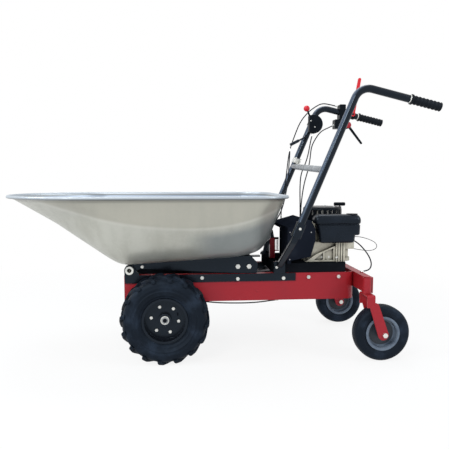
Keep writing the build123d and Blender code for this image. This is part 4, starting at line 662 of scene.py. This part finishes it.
def tub_outline(level):
    """Points round the tub at one level: x, y, z and the direction out."""
    front_x, front_z, rear_x, rear_z, half, front_r, rear_r, climb = level
    corners = (
        (front_x + front_r, front_r - half, front_r, math.pi),
        (rear_x - rear_r, rear_r - half, rear_r, 1.5 * math.pi),
        (rear_x - rear_r, half - rear_r, rear_r, 0.0),
        (front_x + front_r, half - front_r, front_r, 0.5 * math.pi),
    )
    arcs = [quarter_arc(*corner, CORNER_STEPS) for corner in corners]
    points = []
    for arc, next_arc, steps in zip(arcs, [*arcs[1:], arcs[0]], SIDE_STEPS):
        points += arc
        for i in range(1, steps):
            x, y, _ = between(arc[-1], next_arc[0], i / steps)
            points.append((x, y, arc[-1][2]))
    outline = []
    for x, y, angle in points:
        z = front_z + (rear_z - front_z) * (x - front_x) / (rear_x - front_x)
        side_share = min(1.0, max(0.0, (abs(math.sin(angle)) - SIDE_FROM) / SIDE_SPAN))
        z += climb * side_share * side_share * (3 - 2 * side_share) * crease_lift(x)
        outline.append((x, y, z, math.cos(angle), math.sin(angle)))
    return outline


print("points a level", len(tub_outline(TUB_LEVELS[0])))

# %% [markdown]
# ## One closed sheet
# The rings climb the outside, go round the roll, and come down the inside. The inside stands one thickness in
# from the outside, and on the floor one thickness above it.

# %% The pressed tub
TUB_WALL = 2.5
ROLL_R = 6.0
ROLL_OUT = 8.0
ROLL_Z = 618.0
ROLL_DEGREES = range(-120, 190, 15)
# The floor and the foot of the wall are this part of the levels, counted from the floor
LIFTED_PART = 1 / 3


def tub_ring(level, out, lift):
    return [(x + nx * out, y + ny * out, z + lift) for x, y, z, nx, ny in tub_outline(level)]


def roll_ring(angle):
    reach = ROLL_OUT + ROLL_R * math.cos(angle)
    z = ROLL_Z + ROLL_R * math.sin(angle)
    return [(x + nx * reach, y + ny * reach, z) for x, y, _, nx, ny in tub_outline(TUB_LEVELS[-1])]


outer = [tub_ring(level, 0.0, 0.0) for level in walls]
roll = [roll_ring(math.radians(a)) for a in ROLL_DEGREES]
flat = [max(0.0, 1.0 - i / (LIFTED_PART * len(walls))) for i in range(len(walls))]
inner = [tub_ring(level, -TUB_WALL, TUB_WALL * f) for level, f in zip(walls, flat)]
tub_shape = band([*outer, *roll, *reversed(inner)], caps=True)
piece("tub", tub_shape, "tray", "galvanised", "tray_tub", sharp=60.0)

# %% [markdown]
# ## Drive tyres
# Field tyres have a carcass with moulded rings on its sidewall, and slanted lugs that meet in an arrow along
# the crown and run over the shoulder. A lug is lofted along its own length: each station is a rounded block
# that leans from the crown's direction to the sidewall's.

# %% Lugged drive tyres
DRIVE_X = -195.0
DRIVE_Y = 218.0
DRIVE_R = 165.0
TYRE_STEPS = 128
TYRE_SHARP = 38.0
SIDES = (("left", -1), ("right", 1))
LUGS = 16
CROWN_R = 155.0
# How far a lug turns round the tyre with each millimetre across, counted from its middle
LUG_TURN = math.tan(math.radians(38)) / CROWN_R
LUG_MIDDLE = 30.0
BEAD_R, BEAD_HALF = 78.5, 37.0
# Radius and distance from the tyre's middle, from the bead out over the sidewall to the crown
CARCASS = (
    (80, 38), (83, 42.5), (87, 44.8), (90, 45.6), (91.5, 45.2), (93, 46.6), (97, 49.6),
    (99, 51.6), (101, 51.4), (105, 53.6), (111, 56.4), (113, 57.8), (115.5, 57.6), (117, 56.6),
    (124, 57.2), (126, 58), (128.5, 57.8), (130, 57), (138, 57), (145, 54.6), (150.5, 50.5),
    (153.6, 44), (154.6, 28), (155, 12),
)
# Along a lug: radius, distance from the middle, direction out (radial, sideways), and depth
LUG_STATIONS = (
    (163.4, 2.5, 1, 0, 13),
    (165, 7, 1, 0, 15),
    (165, 30, 1, 0, 15),
    (164.8, 43, 1, 0, 16),
    (163, 50, 0.93, 0.37, 16),
    (158.5, 54.8, 0.66, 0.75, 12),
    (152, 57, 0.24, 0.97, 7),
    (147, 57.8, 0.04, 1, 4),
)
# Across a lug: sideways place and share of the depth
LUG_SECTION = ((-9, 1), (-8, 0.4), (-7.4, 0.1), (-6.4, 0), (6.4, 0), (7.4, 0.1), (8, 0.4), (9, 1))


def wheel_point(hand, radius, across, angle):
    x = DRIVE_X + radius * math.cos(angle)
    z = DRIVE_R + radius * math.sin(angle)
    return (x, hand * (DRIVE_Y + across), z)


def lug(hand, side, angle):
    rings = []
    for radius, across, out_r, out_a, depth in LUG_STATIONS:
        turn = angle - (across - LUG_MIDDLE) * LUG_TURN
        ring = []
        for sideways, share in LUG_SECTION:
            r = radius - out_r * depth * share
            a = across - out_a * depth * share
            ring.append(wheel_point(hand, r, side * a, turn + sideways / CROWN_R))
        rings.append(ring)
    return band(rings, loop=False, caps=True)


def drive_tyre(hand):
    ring = [*CARCASS, *((r, -a) for r, a in reversed(CARCASS))]
    bead = [(BEAD_R, -BEAD_HALF), (BEAD_R, BEAD_HALF)]
    middle = (DRIVE_X, hand * DRIVE_Y, DRIVE_R)
    parts = [turned([*ring, *bead], middle, (0, hand, 0), TYRE_STEPS, join_ends=True)]
    for side in (-1, 1):
        start = math.radians(90.0 + (0.0 if side > 0 else 180.0 / LUGS))
        parts += [lug(hand, side, start + 2 * math.pi * i / LUGS) for i in range(LUGS)]
    return merged(*parts)


for side_name, hand in SIDES:
    solid = f"{side_name}_drive_tyre"
    piece(f"{side_name}_lugged_tyre", drive_tyre(hand), "drive_wheels", "tyre", solid, sharp=TYRE_SHARP)

# %% [markdown]
# ## Caster tyres
# The caster tyres are small pneumatic ones with three ribs round the crown and a raised ring by the rim. They
# are the same all the way round, so one section is turned about the axle.

# %% Caster tyres
CASTER_Y = 266.0
CASTER_STEPS = 112
# Radius and distance from the tyre's middle
CASTER_SECTION = (
    (60, 22.5), (63, 24.2), (66.5, 24.6), (69, 25.8), (71, 27.4), (73, 27.2), (77, 29.6),
    (81, 30.8), (85, 31), (87, 30.4), (89, 30.9), (94, 30.2), (98.6, 27.6), (102.2, 23.6),
    (104.6, 18.6), (105.6, 14), (105.8, 11.4), (103.2, 10.8), (103.2, 7.6), (105.9, 7), (106, 0),
)

for side_name, hand in SIDES:
    ring = [*CASTER_SECTION, *((r, -a) for r, a in reversed(CASTER_SECTION[:-1]))]
    shape = turned(ring, (CASTER_X, hand * CASTER_Y, CASTER_R), (0, 1, 0), CASTER_STEPS, join_ends=True)
    body, solid = f"{side_name}_wheel", f"{side_name}_caster_tyre"
    piece(f"{side_name}_ribbed_tyre", shape, body, "tyre", solid, sharp=TYRE_SHARP)

# %% [markdown]
# ## Grips
# Each grip is a soft sleeve with a flange for the thumb, a row of rounded ribs, and a closed end. A cosine
# along its length gives ribs that swell and fall as moulded rubber does.

# %% Grips
GRIP_X, GRIP_Y = 703.0, 281.0
# The tube's upper run falls by this much for each millimetre behind its bend
TUBE_SLOPE = 0.236
BEND_X, BEND_Z = 513.5, 1019.0
GRIP_Z = BEND_Z - TUBE_SLOPE * (GRIP_X - BEND_X)
GRIP_RUN = Vector((1.0, 0.0, -TUBE_SLOPE)).normalized()
GRIP_LENGTH = 121.0
GRIP_STEPS = 48
# Radius and distance along the grip
GRIP_FLANGE = ((14.1, 0.0), (18.2, 0.0), (19.0, 1.2), (19.0, 5.6), (18.2, 7.2), (16.2, 9.0))
RIBS = 7
RIB_STEPS = 10
RIB_R, RIB_SWELL = 15.9, 1.05
RIBS_FROM, RIBS_TO = 11.0, GRIP_LENGTH - 9.0
END_R, END_DOME = 16.9, 5.0
END_ANGLES = (0.0, 0.4, 0.8, 1.2, 1.5)


def grip_profile():
    profile = [*GRIP_FLANGE]
    steps = RIBS * RIB_STEPS
    for i in range(steps + 1):
        swell = math.cos(2 * math.pi * (0.5 + RIBS * i / steps))
        profile.append((RIB_R + RIB_SWELL * swell, RIBS_FROM + (RIBS_TO - RIBS_FROM) * i / steps))
    for angle in END_ANGLES:
        profile.append((END_R * math.cos(angle), GRIP_LENGTH - END_DOME + END_DOME * math.sin(angle)))
    return profile


for side_name, hand in SIDES:
    shape = turned(grip_profile(), (GRIP_X, hand * GRIP_Y, GRIP_Z), GRIP_RUN, GRIP_STEPS, caps=True)
    piece(f"{side_name}_grip", shape, "chassis", "rubber", "handle_grips")

# A thin zinc clip in front of each sleeve: radius and distance along it
CLIP = ((14.05, 0.0), (15.4, 0.5), (15.4, 4.0), (14.05, 4.5))
CLIP_GAP = 5.0
clips = []
for _, hand in SIDES:
    clip_start = Vector((GRIP_X, hand * GRIP_Y, GRIP_Z)) - GRIP_RUN * CLIP_GAP
    clips.append(turned(CLIP, clip_start, GRIP_RUN, GRIP_STEPS, join_ends=True))
piece("grip_clips", merged(*clips), "chassis", "zinc")

# %% [markdown]
# ## The fuel tank
# The tank is blown in two halves that meet at a seam. The lower half tapers and has a step at its back end,
# and the lid overhangs it and rolls over to a flat top. Each ring is a rounded rectangle, and a stack of them
# has the seam and the roll in it.

# %% Fuel tank
TANK_Y = -121.0
TANK_STEPS = 7
# Height, x from and to, half width, and corner radius
TANK_RINGS = (
    (432, 424, 542, 19, 8),
    (433.5, 415, 550, 26, 12),
    (438, 412, 554.5, 29, 14),
    (461, 409.5, 556.5, 30, 14),
    (463, 409, 560, 30, 14),
    (463.5, 409, 571, 30, 14),
    (467, 408.5, 575, 30.5, 14),
    (502, 401, 576.5, 30, 14),
    (504, 404, 574, 26, 12),
    (507.5, 402, 574, 26, 12),
    (509.5, 393, 577.5, 29.5, 15),
    (514, 391, 579, 31, 16),
    (524, 391, 579, 31, 16),
    (532, 392.5, 577.5, 29, 17),
    (538.5, 396, 574, 25, 17),
    (543, 401.5, 568.5, 19, 15),
    (545, 409, 561, 12, 11),
)


def rounded_ring(z, x_from, x_to, half, radius):
    left, right = x_from + radius, x_to - radius
    front, back = TANK_Y - half + radius, TANK_Y + half - radius
    corners = ((right, back), (left, back), (left, front), (right, front))
    ring = []
    for quarter, (x, y) in enumerate(corners):
        points = quarter_arc(x, y, radius, 0.5 * math.pi * quarter, TANK_STEPS)
        ring += [(*point[:2], z) for point in points]
    return ring


tank_shape = band([rounded_ring(*level) for level in TANK_RINGS], caps=True)
piece("blown_tank", tank_shape, "chassis", "black_plastic", "fuel_tank", sharp=50.0, finish="tank_plastic")

# %% [markdown]
# ## The air screen
# The starter cover draws air in through its slots. A ring of folded sheet behind them keeps grass out. The
# radius of its points steps in and out at the folds, and four such rings close the sheet.

# %% Air screen
ENGINE_X = 460.0
SCREEN_FOLDS = 30
SCREEN_R = (60.0, 64.0)
SCREEN_Z = (530.0, 562.0)
SCREEN_WALL = 1.5


def screen_ring(inset, z):
    """A ring whose radius steps in and out at the folds."""
    ring = []
    for i in range(4 * SCREEN_FOLDS):
        radius = SCREEN_R[i // 2 % 2] - inset
        angle = 0.5 * math.pi * i / SCREEN_FOLDS
        ring.append((ENGINE_X + radius * math.cos(angle), radius * math.sin(angle), z))
    return ring


low, high = SCREEN_Z
screen_section = ((0.0, low), (0.0, high), (SCREEN_WALL, high), (SCREEN_WALL, low))
screen_shape = band([screen_ring(*row) for row in screen_section], join_ends=True)
piece("air_screen", screen_shape, "chassis", "zinc", sharp=30.0)

# %% [markdown]
# ## The deck
# The deck is a folded plate on the chassis. It stops just in front of the latch, so that light falls through
# the gap behind the tub. The new piece is the solid's own mesh, cut off there and closed by a folded lip.

# %% Engine deck
DECK_FRONT = 230.0
DECK_HALF = 146.0
DECK_Z = (317.0, 355.0)
LIP = 3.0
# Points of the solid's mesh that lie closer than this, in metres, are one point
SAME_POINT = 1e-6
cut = bmesh.new()
cut.from_mesh(NODES["engine_deck"].data)
bmesh.ops.remove_doubles(cut, verts=cut.verts, dist=SAME_POINT)
everything = [*cut.verts, *cut.edges, *cut.faces]
front = (DECK_FRONT * MM, 0.0, 0.0)
bmesh.ops.bisect_plane(cut, geom=everything, plane_co=front, plane_no=(-1.0, 0.0, 0.0), clear_outer=True)
open_edges = [edge for edge in cut.edges if edge.is_boundary]
bmesh.ops.edgeloop_fill(cut, edges=open_edges)
print("deck cut through", len(open_edges), "edges")
deck_points = [vert.co / MM for vert in cut.verts]
cut.verts.index_update()
deck_faces = [tuple(vert.index for vert in face.verts) for face in cut.faces]
cut.free()
lip_rings = []
for x in (DECK_FRONT - LIP, DECK_FRONT):
    lip_rings.append([(x, y * DECK_HALF, DECK_Z[high]) for y, high in ((-1, 0), (1, 0), (1, 1), (-1, 1))])
deck_shape = merged((deck_points, deck_faces), band(lip_rings, caps=True))
piece("folded_deck", deck_shape, "chassis", "black_paint", "engine_deck", sharp=32.0, finish="dull_paint")

# %% [markdown]
# ## Cables
# Four sleeved cables leave the levers and cross behind the handles on their way to the engine and the latch.
# Two more run behind the engine and under the frame, and a thin stop wire hangs in a loop. A smooth curve
# with the solid's route points has no corners, and a short metal ferrule closes each end of a sleeve.

# %% Control cables
CABLE_R = 2.5
WIRE_R = 1.2
FERRULE_R = 3.4
FERRULE_LENGTH = 14.0
FERRULE = (
    (0.6 * FERRULE_R, 0.0), (FERRULE_R, 1.0), (FERRULE_R, FERRULE_LENGTH - 1.0), (CABLE_R, FERRULE_LENGTH),
)
CABLE_ROUTES = {
    "drive_cable": (
        (607.4, 284, 1022), (560, 286, 1034), (528, 289, 1036), (499, 290, 1020), (466, 290, 996),
        (428, 288, 950), (399, 280, 880), (373, 270, 810), (356, 242, 700), (334, 200, 612), (315, 152, 550),
        (315, 152, 508.5),
    ),
    "brake_cable": (
        (584, 268, 935), (566, 259, 926), (517, 245, 905), (485, 222, 868), (462, 205, 830), (450, 178, 770),
        (432, 140, 722), (407, 112, 660), (394, 102, 580), (392, 100, 520), (392, 100, 445.2),
    ),
    "throttle_cable": (
        (478, 243, 892), (473, 242, 880), (464, 232, 850), (448, 205, 793), (425, 172, 745), (402, 150, 706),
        (393, 126, 640), (392, 110, 560), (392, 110, 445.2),
    ),
    "release_cable": (
        (374, 257, 826), (374, 254, 796), (365, 232, 742), (352, 180, 680), (330, 130, 610), (302, 75, 548),
        (270, 25, 512), (250, 4, 486), (246, 0, 477),
    ),
    "engine_cable": (
        (540.4, -70, 442), (556, -70, 442), (590, -84, 424), (622, -100, 385), (634, -118, 352),
        (624, -140, 330), (602, -156, 321), (574, -160, 319),
    ),
    "underframe_cable": (
        (-58, -136, 207.3), (-30, -138, 205), (10, -140, 201), (60, -141, 199), (136, -141, 198),
        (190, -140, 202), (228, -138, 206.6), (250, -136, 207.4),
    ),
    "stop_wire": (
        (540.4, -48, 446), (560, -50, 448), (610, -72, 448), (660, -92, 428), (666, -96, 404),
        (638, -92, 391), (590, -74, 396), (560, -62, 402), (540.4, -60, 402),
    ),
}


def cable(name, points, radius):
    curve = bpy.data.curves.new(name, "CURVE")
    curve.dimensions = "3D"
    curve.bevel_depth = radius * MM
    curve.bevel_resolution = 4
    curve.resolution_u = 10
    curve.use_fill_caps = True
    spline = curve.splines.new("NURBS")
    spline.points.add(len(points) - 1)
    for spot, point in zip(spline.points, points):
        spot.co = (*(Vector(point) * MM), 1.0)
    spline.order_u = 3
    spline.use_endpoint_u = True
    made = dress(add_object(name, curve), "rubber", "control_cables")
    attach(made, "chassis")


for name, points in CABLE_ROUTES.items():
    thin = name == "stop_wire"
    cable(name, points, WIRE_R if thin else CABLE_R)
    if not thin:
        ends = []
        for end, inward in (points[:2], points[:-3:-1]):
            ends.append(turned(FERRULE, end, Vector(inward) - Vector(end), 24, caps=True))
        piece(f"{name}_ferrules", merged(*ends), "chassis", "zinc")

# %% [markdown]
# ## Spring and rope
# The latch's spring and the starter's rope each have one end on the cart and the other on a moving piece.
# Their meshes are baked in place and ride on no body. A tube is swept along points with a frame that turns as
# little as it can.

# %% Spring and starter rope


def swept(points, radius, sides):
    points = [Vector(p) for p in points]
    across = (points[1] - points[0]).orthogonal().normalized()
    rings = []
    for i, point in enumerate(points):
        ahead = (points[min(i + 1, len(points) - 1)] - points[max(i - 1, 0)]).normalized()
        across = (across - ahead * across.dot(ahead)).normalized()
        rings.append(circle(point, across, ahead.cross(across), radius, sides))
    return band(rings, caps=True)


SPRING_X = 269.0
SPRING_Z = (388.0, 432.0)
SPRING_R = 5.5
SPRING_WIRE = 0.9
SPRING_TURNS = 12
TURN_STEPS = 24
WIRE_SIDES = 10
low, high = SPRING_Z[0] + 1.4 * SPRING_WIRE, SPRING_Z[1] - SPRING_WIRE
coil = []
for i in range(SPRING_TURNS * TURN_STEPS + 1):
    angle = 2 * math.pi * i / TURN_STEPS
    rise = low + (high - low) * i / (SPRING_TURNS * TURN_STEPS)
    coil.append((SPRING_X + SPRING_R * math.cos(angle), SPRING_R * math.sin(angle), rise))
spring = dress(new_mesh("wound_spring", swept(coil, SPRING_WIRE, WIRE_SIDES)), "zinc", "latch_spring")
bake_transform(spring)

ROPE_X = 534.0
ROPE_Z = (550.0, 571.5)
ROPE_R = 2.2
ROPE_STEPS = 60
STRANDS = 3
STRAND_R = 0.52 * ROPE_R
LAY_R = 1.0
LAY_TURNS = 3
low, high = ROPE_Z
strands = []
for strand in range(STRANDS):
    points = []
    for i in range(ROPE_STEPS + 1):
        share = i / ROPE_STEPS
        angle = 2 * math.pi * (strand / STRANDS + LAY_TURNS * share)
        x, y = ROPE_X + LAY_R * math.cos(angle), LAY_R * math.sin(angle)
        points.append((x, y, low + (high - low) * share))
    strands.append(swept(points, STRAND_R, WIRE_SIDES))
rope = dress(new_mesh("laid_rope", merged(*strands)), "rope", "starter_rope")
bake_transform(rope)
print("spring", len(coil), "rope strands", len(strands))

# %% [markdown]
# ## The drive belt
# The belt is a wedge in section. It is carried round the worm's pulley and round the engine's, and its
# straight runs come from joining the two arcs.

# %% Drive belt
BELT_Z = 272.0
BELT_STEPS = 32
# Each pulley's place along X, and the radius of the belt's outer face there
BELT_ENDS = ((-132.0, 60.0), (460.0, 35.0))
# Depth from the outer face, and height from the belt's middle
BELT_SECTION = (
    (0.0, -4.6), (0.0, 4.6), (0.6, 5.0), (7.4, 3.9), (8.0, 3.4), (8.0, -3.4), (7.4, -3.9), (0.6, -5.0),
)
(worm_x, worm_r), (crank_x, crank_r) = BELT_ENDS
lean = math.acos((worm_r - crank_r) / (crank_x - worm_x))
arcs = ((worm_x, worm_r, lean, 2 * math.pi - lean), (crank_x, crank_r, -lean, lean))
belt_rings = []
for centre_x, radius, start, end in arcs:
    for i in range(BELT_STEPS + 1):
        angle = start + (end - start) * i / BELT_STEPS
        ring = []
        for depth, rise in BELT_SECTION:
            reach = radius - depth
            ring.append((centre_x + reach * math.cos(angle), reach * math.sin(angle), BELT_Z + rise))
        belt_rings.append(ring)
piece("vee_belt", band(belt_rings, join_ends=True), "chassis", "rubber", "drive_belt")

# %% [markdown]
# ## Small fittings
# Bolts, screws and caps sit where a straight line meets a solid, so each is named by its node and the line
# that finds its seat. A bolt has a washer and a six-sided head, and a screw has a round head with a socket.

# %% Seats and heads


def seat(node, start, way):
    """The point and the outward normal where a line first meets a node, in millimetres."""
    mesh, place = NODES[node].data, NODES[node].matrix_world
    points = [place @ v.co / MM for v in mesh.vertices]
    tree = BVHTree.FromPolygons(points, [tuple(face.vertices) for face in mesh.polygons])
    spot, normal, _, _ = tree.ray_cast(Vector(start), Vector(way))
    return spot, normal


def bolt(spot, normal, r):
    washer = [(1.45 * r, -0.2), (1.45 * r, 0.26 * r), (0.9 * r, 0.26 * r)]
    head = [(1.1 * r, 0.2 * r), (1.1 * r, 0.8 * r), (0.95 * r, 0.95 * r), (0.3 * r, 0.95 * r)]
    return merged(turned(washer, spot, normal, 24, caps=True), turned(head, spot, normal, 6, caps=True))


def screw(spot, normal, r):
    head = [(r, -0.2), (r, 0.35 * r), (0.85 * r, 0.55 * r), (0.45 * r, 0.62 * r), (0.42 * r, 0.2 * r)]
    return turned(head, spot, normal, 24, caps=True)


def cap(spot, normal, r):
    dome = [(r, -0.2), (r, 0.12 * r), (0.88 * r, 0.24 * r), (0.5 * r, 0.3 * r), (0.2 * r, 0.31 * r)]
    return turned(dome, spot, normal, 32, caps=True)


def valve(spot, normal, r):
    stem = [(r, -1.0), (r, 4.0 * r), (0.7 * r, 4.2 * r), (0.7 * r, 5.4 * r), (r, 5.6 * r), (r, 7.0 * r)]
    return turned(stem, spot, normal, 20, caps=True)


# Directions in which a line looks for its seat, from the side that it starts on
NEAR, FAR, DOWN, FORWARD = (0, 1, 0), (0, -1, 0), (0, 0, -1), (-1, 0, 0)
RECOIL_SCREWS_R = 62.0


def pair(x, y, z):
    """Lines from the near and the far side."""
    return [((x, -y, z), NEAR), ((x, y, z), FAR)]


# Piece name, its body and finish, the node that it sits on, kind, radius, and the lines: start and direction
FITTINGS = (
    ("axle_caps", "drive_wheels", "black_plastic", "axle_shaft", cap, 8.0, pair(DRIVE_X, 300, DRIVE_R)),
    ("drive_valves", "drive_wheels", "rubber", "drive_rims", valve, 2.6, pair(-148, 300, 182)),
    ("collar_bolts", "chassis", "zinc", "handle_brackets", bolt, 3.4,
     [*pair(297, 319, 504), *pair(238, 200, 341)]),
    ("throttle_screws", "chassis", "zinc", "throttle_box", screw, 3.0,
     [((466, 190, 950), NEAR), ((484, 190, 922), NEAR)]),
    ("guard_screws", "chassis", "shaft_steel", "engine_guard", screw, 2.6,
     [((288, -230, 478), NEAR), ((288, -230, 372), NEAR), *pair(372, 230, 478)]),
    ("block_bolts", "chassis", "zinc", "engine_block", bolt, 3.2,
     [*(((x, -230, 372), NEAR) for x in (430, 458, 486)),
      *(((700, y, z), FORWARD) for y in (-40, 0, 40) for z in (372, 420)),
      *(((x, 230, 372), FAR) for x in (420, 460, 500))]),
    ("muffler_bolts", "chassis", "shaft_steel", "muffler", bolt, 3.0,
     [((x, 300, 424), FAR) for x in (537, 558)]),
    ("recoil_screws", "chassis", "shaft_steel", "recoil_cover", screw, 4.0,
     [((ENGINE_X + RECOIL_SCREWS_R * math.cos(a), RECOIL_SCREWS_R * math.sin(a), 640), DOWN)
      for a in (1.1, 3.2, 5.3)]),
    ("plate_rivets", "chassis", "red_paint", "left_side_plate", cap, 5.0, [((163, -230, 248), NEAR)]),
    ("brake_hub", "chassis", "red_paint", "lever_clamp", cap, 15.0, [((646, 200, 934), NEAR)]),
)
print("fittings", len(FITTINGS))

# %% [markdown]
# ## Seating the fittings
# Each line is followed to its seat, and the fitting is made there along the solid's own normal. Those of one
# kind are merged into one piece.

# %% Fittings in their seats
for name, body, slot, node, make, radius, lines in FITTINGS:
    parts = []
    for start, way in lines:
        spot, normal = seat(node, start, way)
        print(name, [round(v, 1) for v in spot], [round(v, 2) for v in normal])
        parts.append(make(spot, normal, radius))
    piece(name, merged(*parts), body, slot)

# %% [markdown]
# ## The floor
# A pale floor keeps a soft shadow under the wheels, and turns to plain white further off, so that no horizon
# shows. The rays that light the cart from below still meet the pale floor.

# %% Floor
scene = bpy.context.scene
scene.view_settings.view_transform = "Standard"

FLOOR_HALF = 30.0
FLOOR_COLOUR = (0.82, 0.82, 0.81)
FLOOR_WHITE = 0.86
WHITE_FROM, WHITE_TO = 0.9, 2.4
WHITE = {"Color": (1.0, 1.0, 1.0), "Strength": 1.0}
floor_mesh = bpy.data.meshes.new("floor")
corners = [(x * FLOOR_HALF, y * FLOOR_HALF, 0.0) for x, y in ((-1, -1), (1, -1), (1, 1), (-1, 1))]
floor_mesh.from_pydata(corners, [], [(0, 1, 2, 3)])
floor = add_object("floor", floor_mesh)


def seen_rays(tree):
    """1 on the rays that show a thing: from the camera, off gloss and through glass."""
    rays = tree.nodes.new("ShaderNodeLightPath")
    kinds = ("Is Camera Ray", "Is Glossy Ray", "Is Transmission Ray")
    camera_ray, glossy_ray, glass_ray = (Wire(tree, rays.outputs[kind]) for kind in kinds)
    return camera_ray + glossy_ray + glass_ray


ground = Finish("pale_floor", 0.9, shine=0.0)
ground.feed("Base Color", FLOOR_COLOUR)
away = ground.node("ShaderNodeVectorMath", {"operation": "LENGTH"}, {0: ground.place}, out="Value")
white_share = FLOOR_WHITE + (1.0 - FLOOR_WHITE) * ground.window(away, WHITE_FROM, WHITE_TO)
lit_floor = Wire(ground.tree, ground.shader.outputs["BSDF"])
white_floor = ground.node("ShaderNodeEmission", {}, WHITE)
shown_share = seen_rays(ground.tree) * white_share
shown = ground.node("ShaderNodeMixShader", {}, {0: shown_share, 1: lit_floor, 2: white_floor})
ground.tree.links.new(shown.socket, ground.tree.nodes["Material Output"].inputs["Surface"])
floor_mesh.materials.append(ground.material)
print("floor", 2 * FLOOR_HALF, "m")

# %% [markdown]
# ## The sky
# The world is white where the camera or a reflection looks at it, and a pale sky for everything else.

# %% World
SKY = {"Color": (0.86, 0.92, 1.0), "Strength": 0.62}
world = bpy.data.worlds.new("studio")
world.use_nodes = True
scene.world = world
sky = world.node_tree
seen = seen_rays(sky)
white = seen.node("ShaderNodeBackground", {}, WHITE)
pale = seen.node("ShaderNodeBackground", {}, SKY)
both = seen.node("ShaderNodeMixShader", {}, {0: seen, 1: pale, 2: white})
sky.links.new(both.socket, sky.nodes["World Output"].inputs["Surface"])
print("world ready")

# %% [markdown]
# ## Lamps
# The strongest lamp stands in front to the left, and a cool one further to the left lights the tub's nose and
# the front of the tubes. A weak one fills the right side, and a broad one hangs above. All are area lamps,
# whose shadows are soft.

# %% Lamps


def lamp(name, place, target, size, power, colour):
    data = bpy.data.lights.new(name, "AREA")
    data.shape = "RECTANGLE"
    data.size, data.size_y = size
    data.energy = power
    data.color = colour
    made = add_object(name, data)
    made.location = place
    made.rotation_euler = (Vector(target) - Vector(place)).to_track_quat("-Z", "Y").to_euler()


lamp("front_lamp", (-1.6, -2.9, 2.6), (0.0, 0.0, 0.4), (1.2, 0.9), 58.0, (1.0, 0.98, 0.95))
lamp("left_lamp", (-2.9, -0.9, 2.2), (0.2, 0.0, 0.6), (1.4, 1.3), 48.0, (0.9, 0.95, 1.0))
lamp("side_lamp", (2.4, -1.6, 1.9), (0.2, 0.0, 0.5), (0.9, 0.9), 22.0, (0.92, 0.96, 1.0))
lamp("top_lamp", (0.0, 0.9, 3.0), (0.0, 0.0, 0.6), (2.6, 1.4), 34.0, (0.95, 0.98, 1.0))
print("lamps", len(bpy.data.lights))
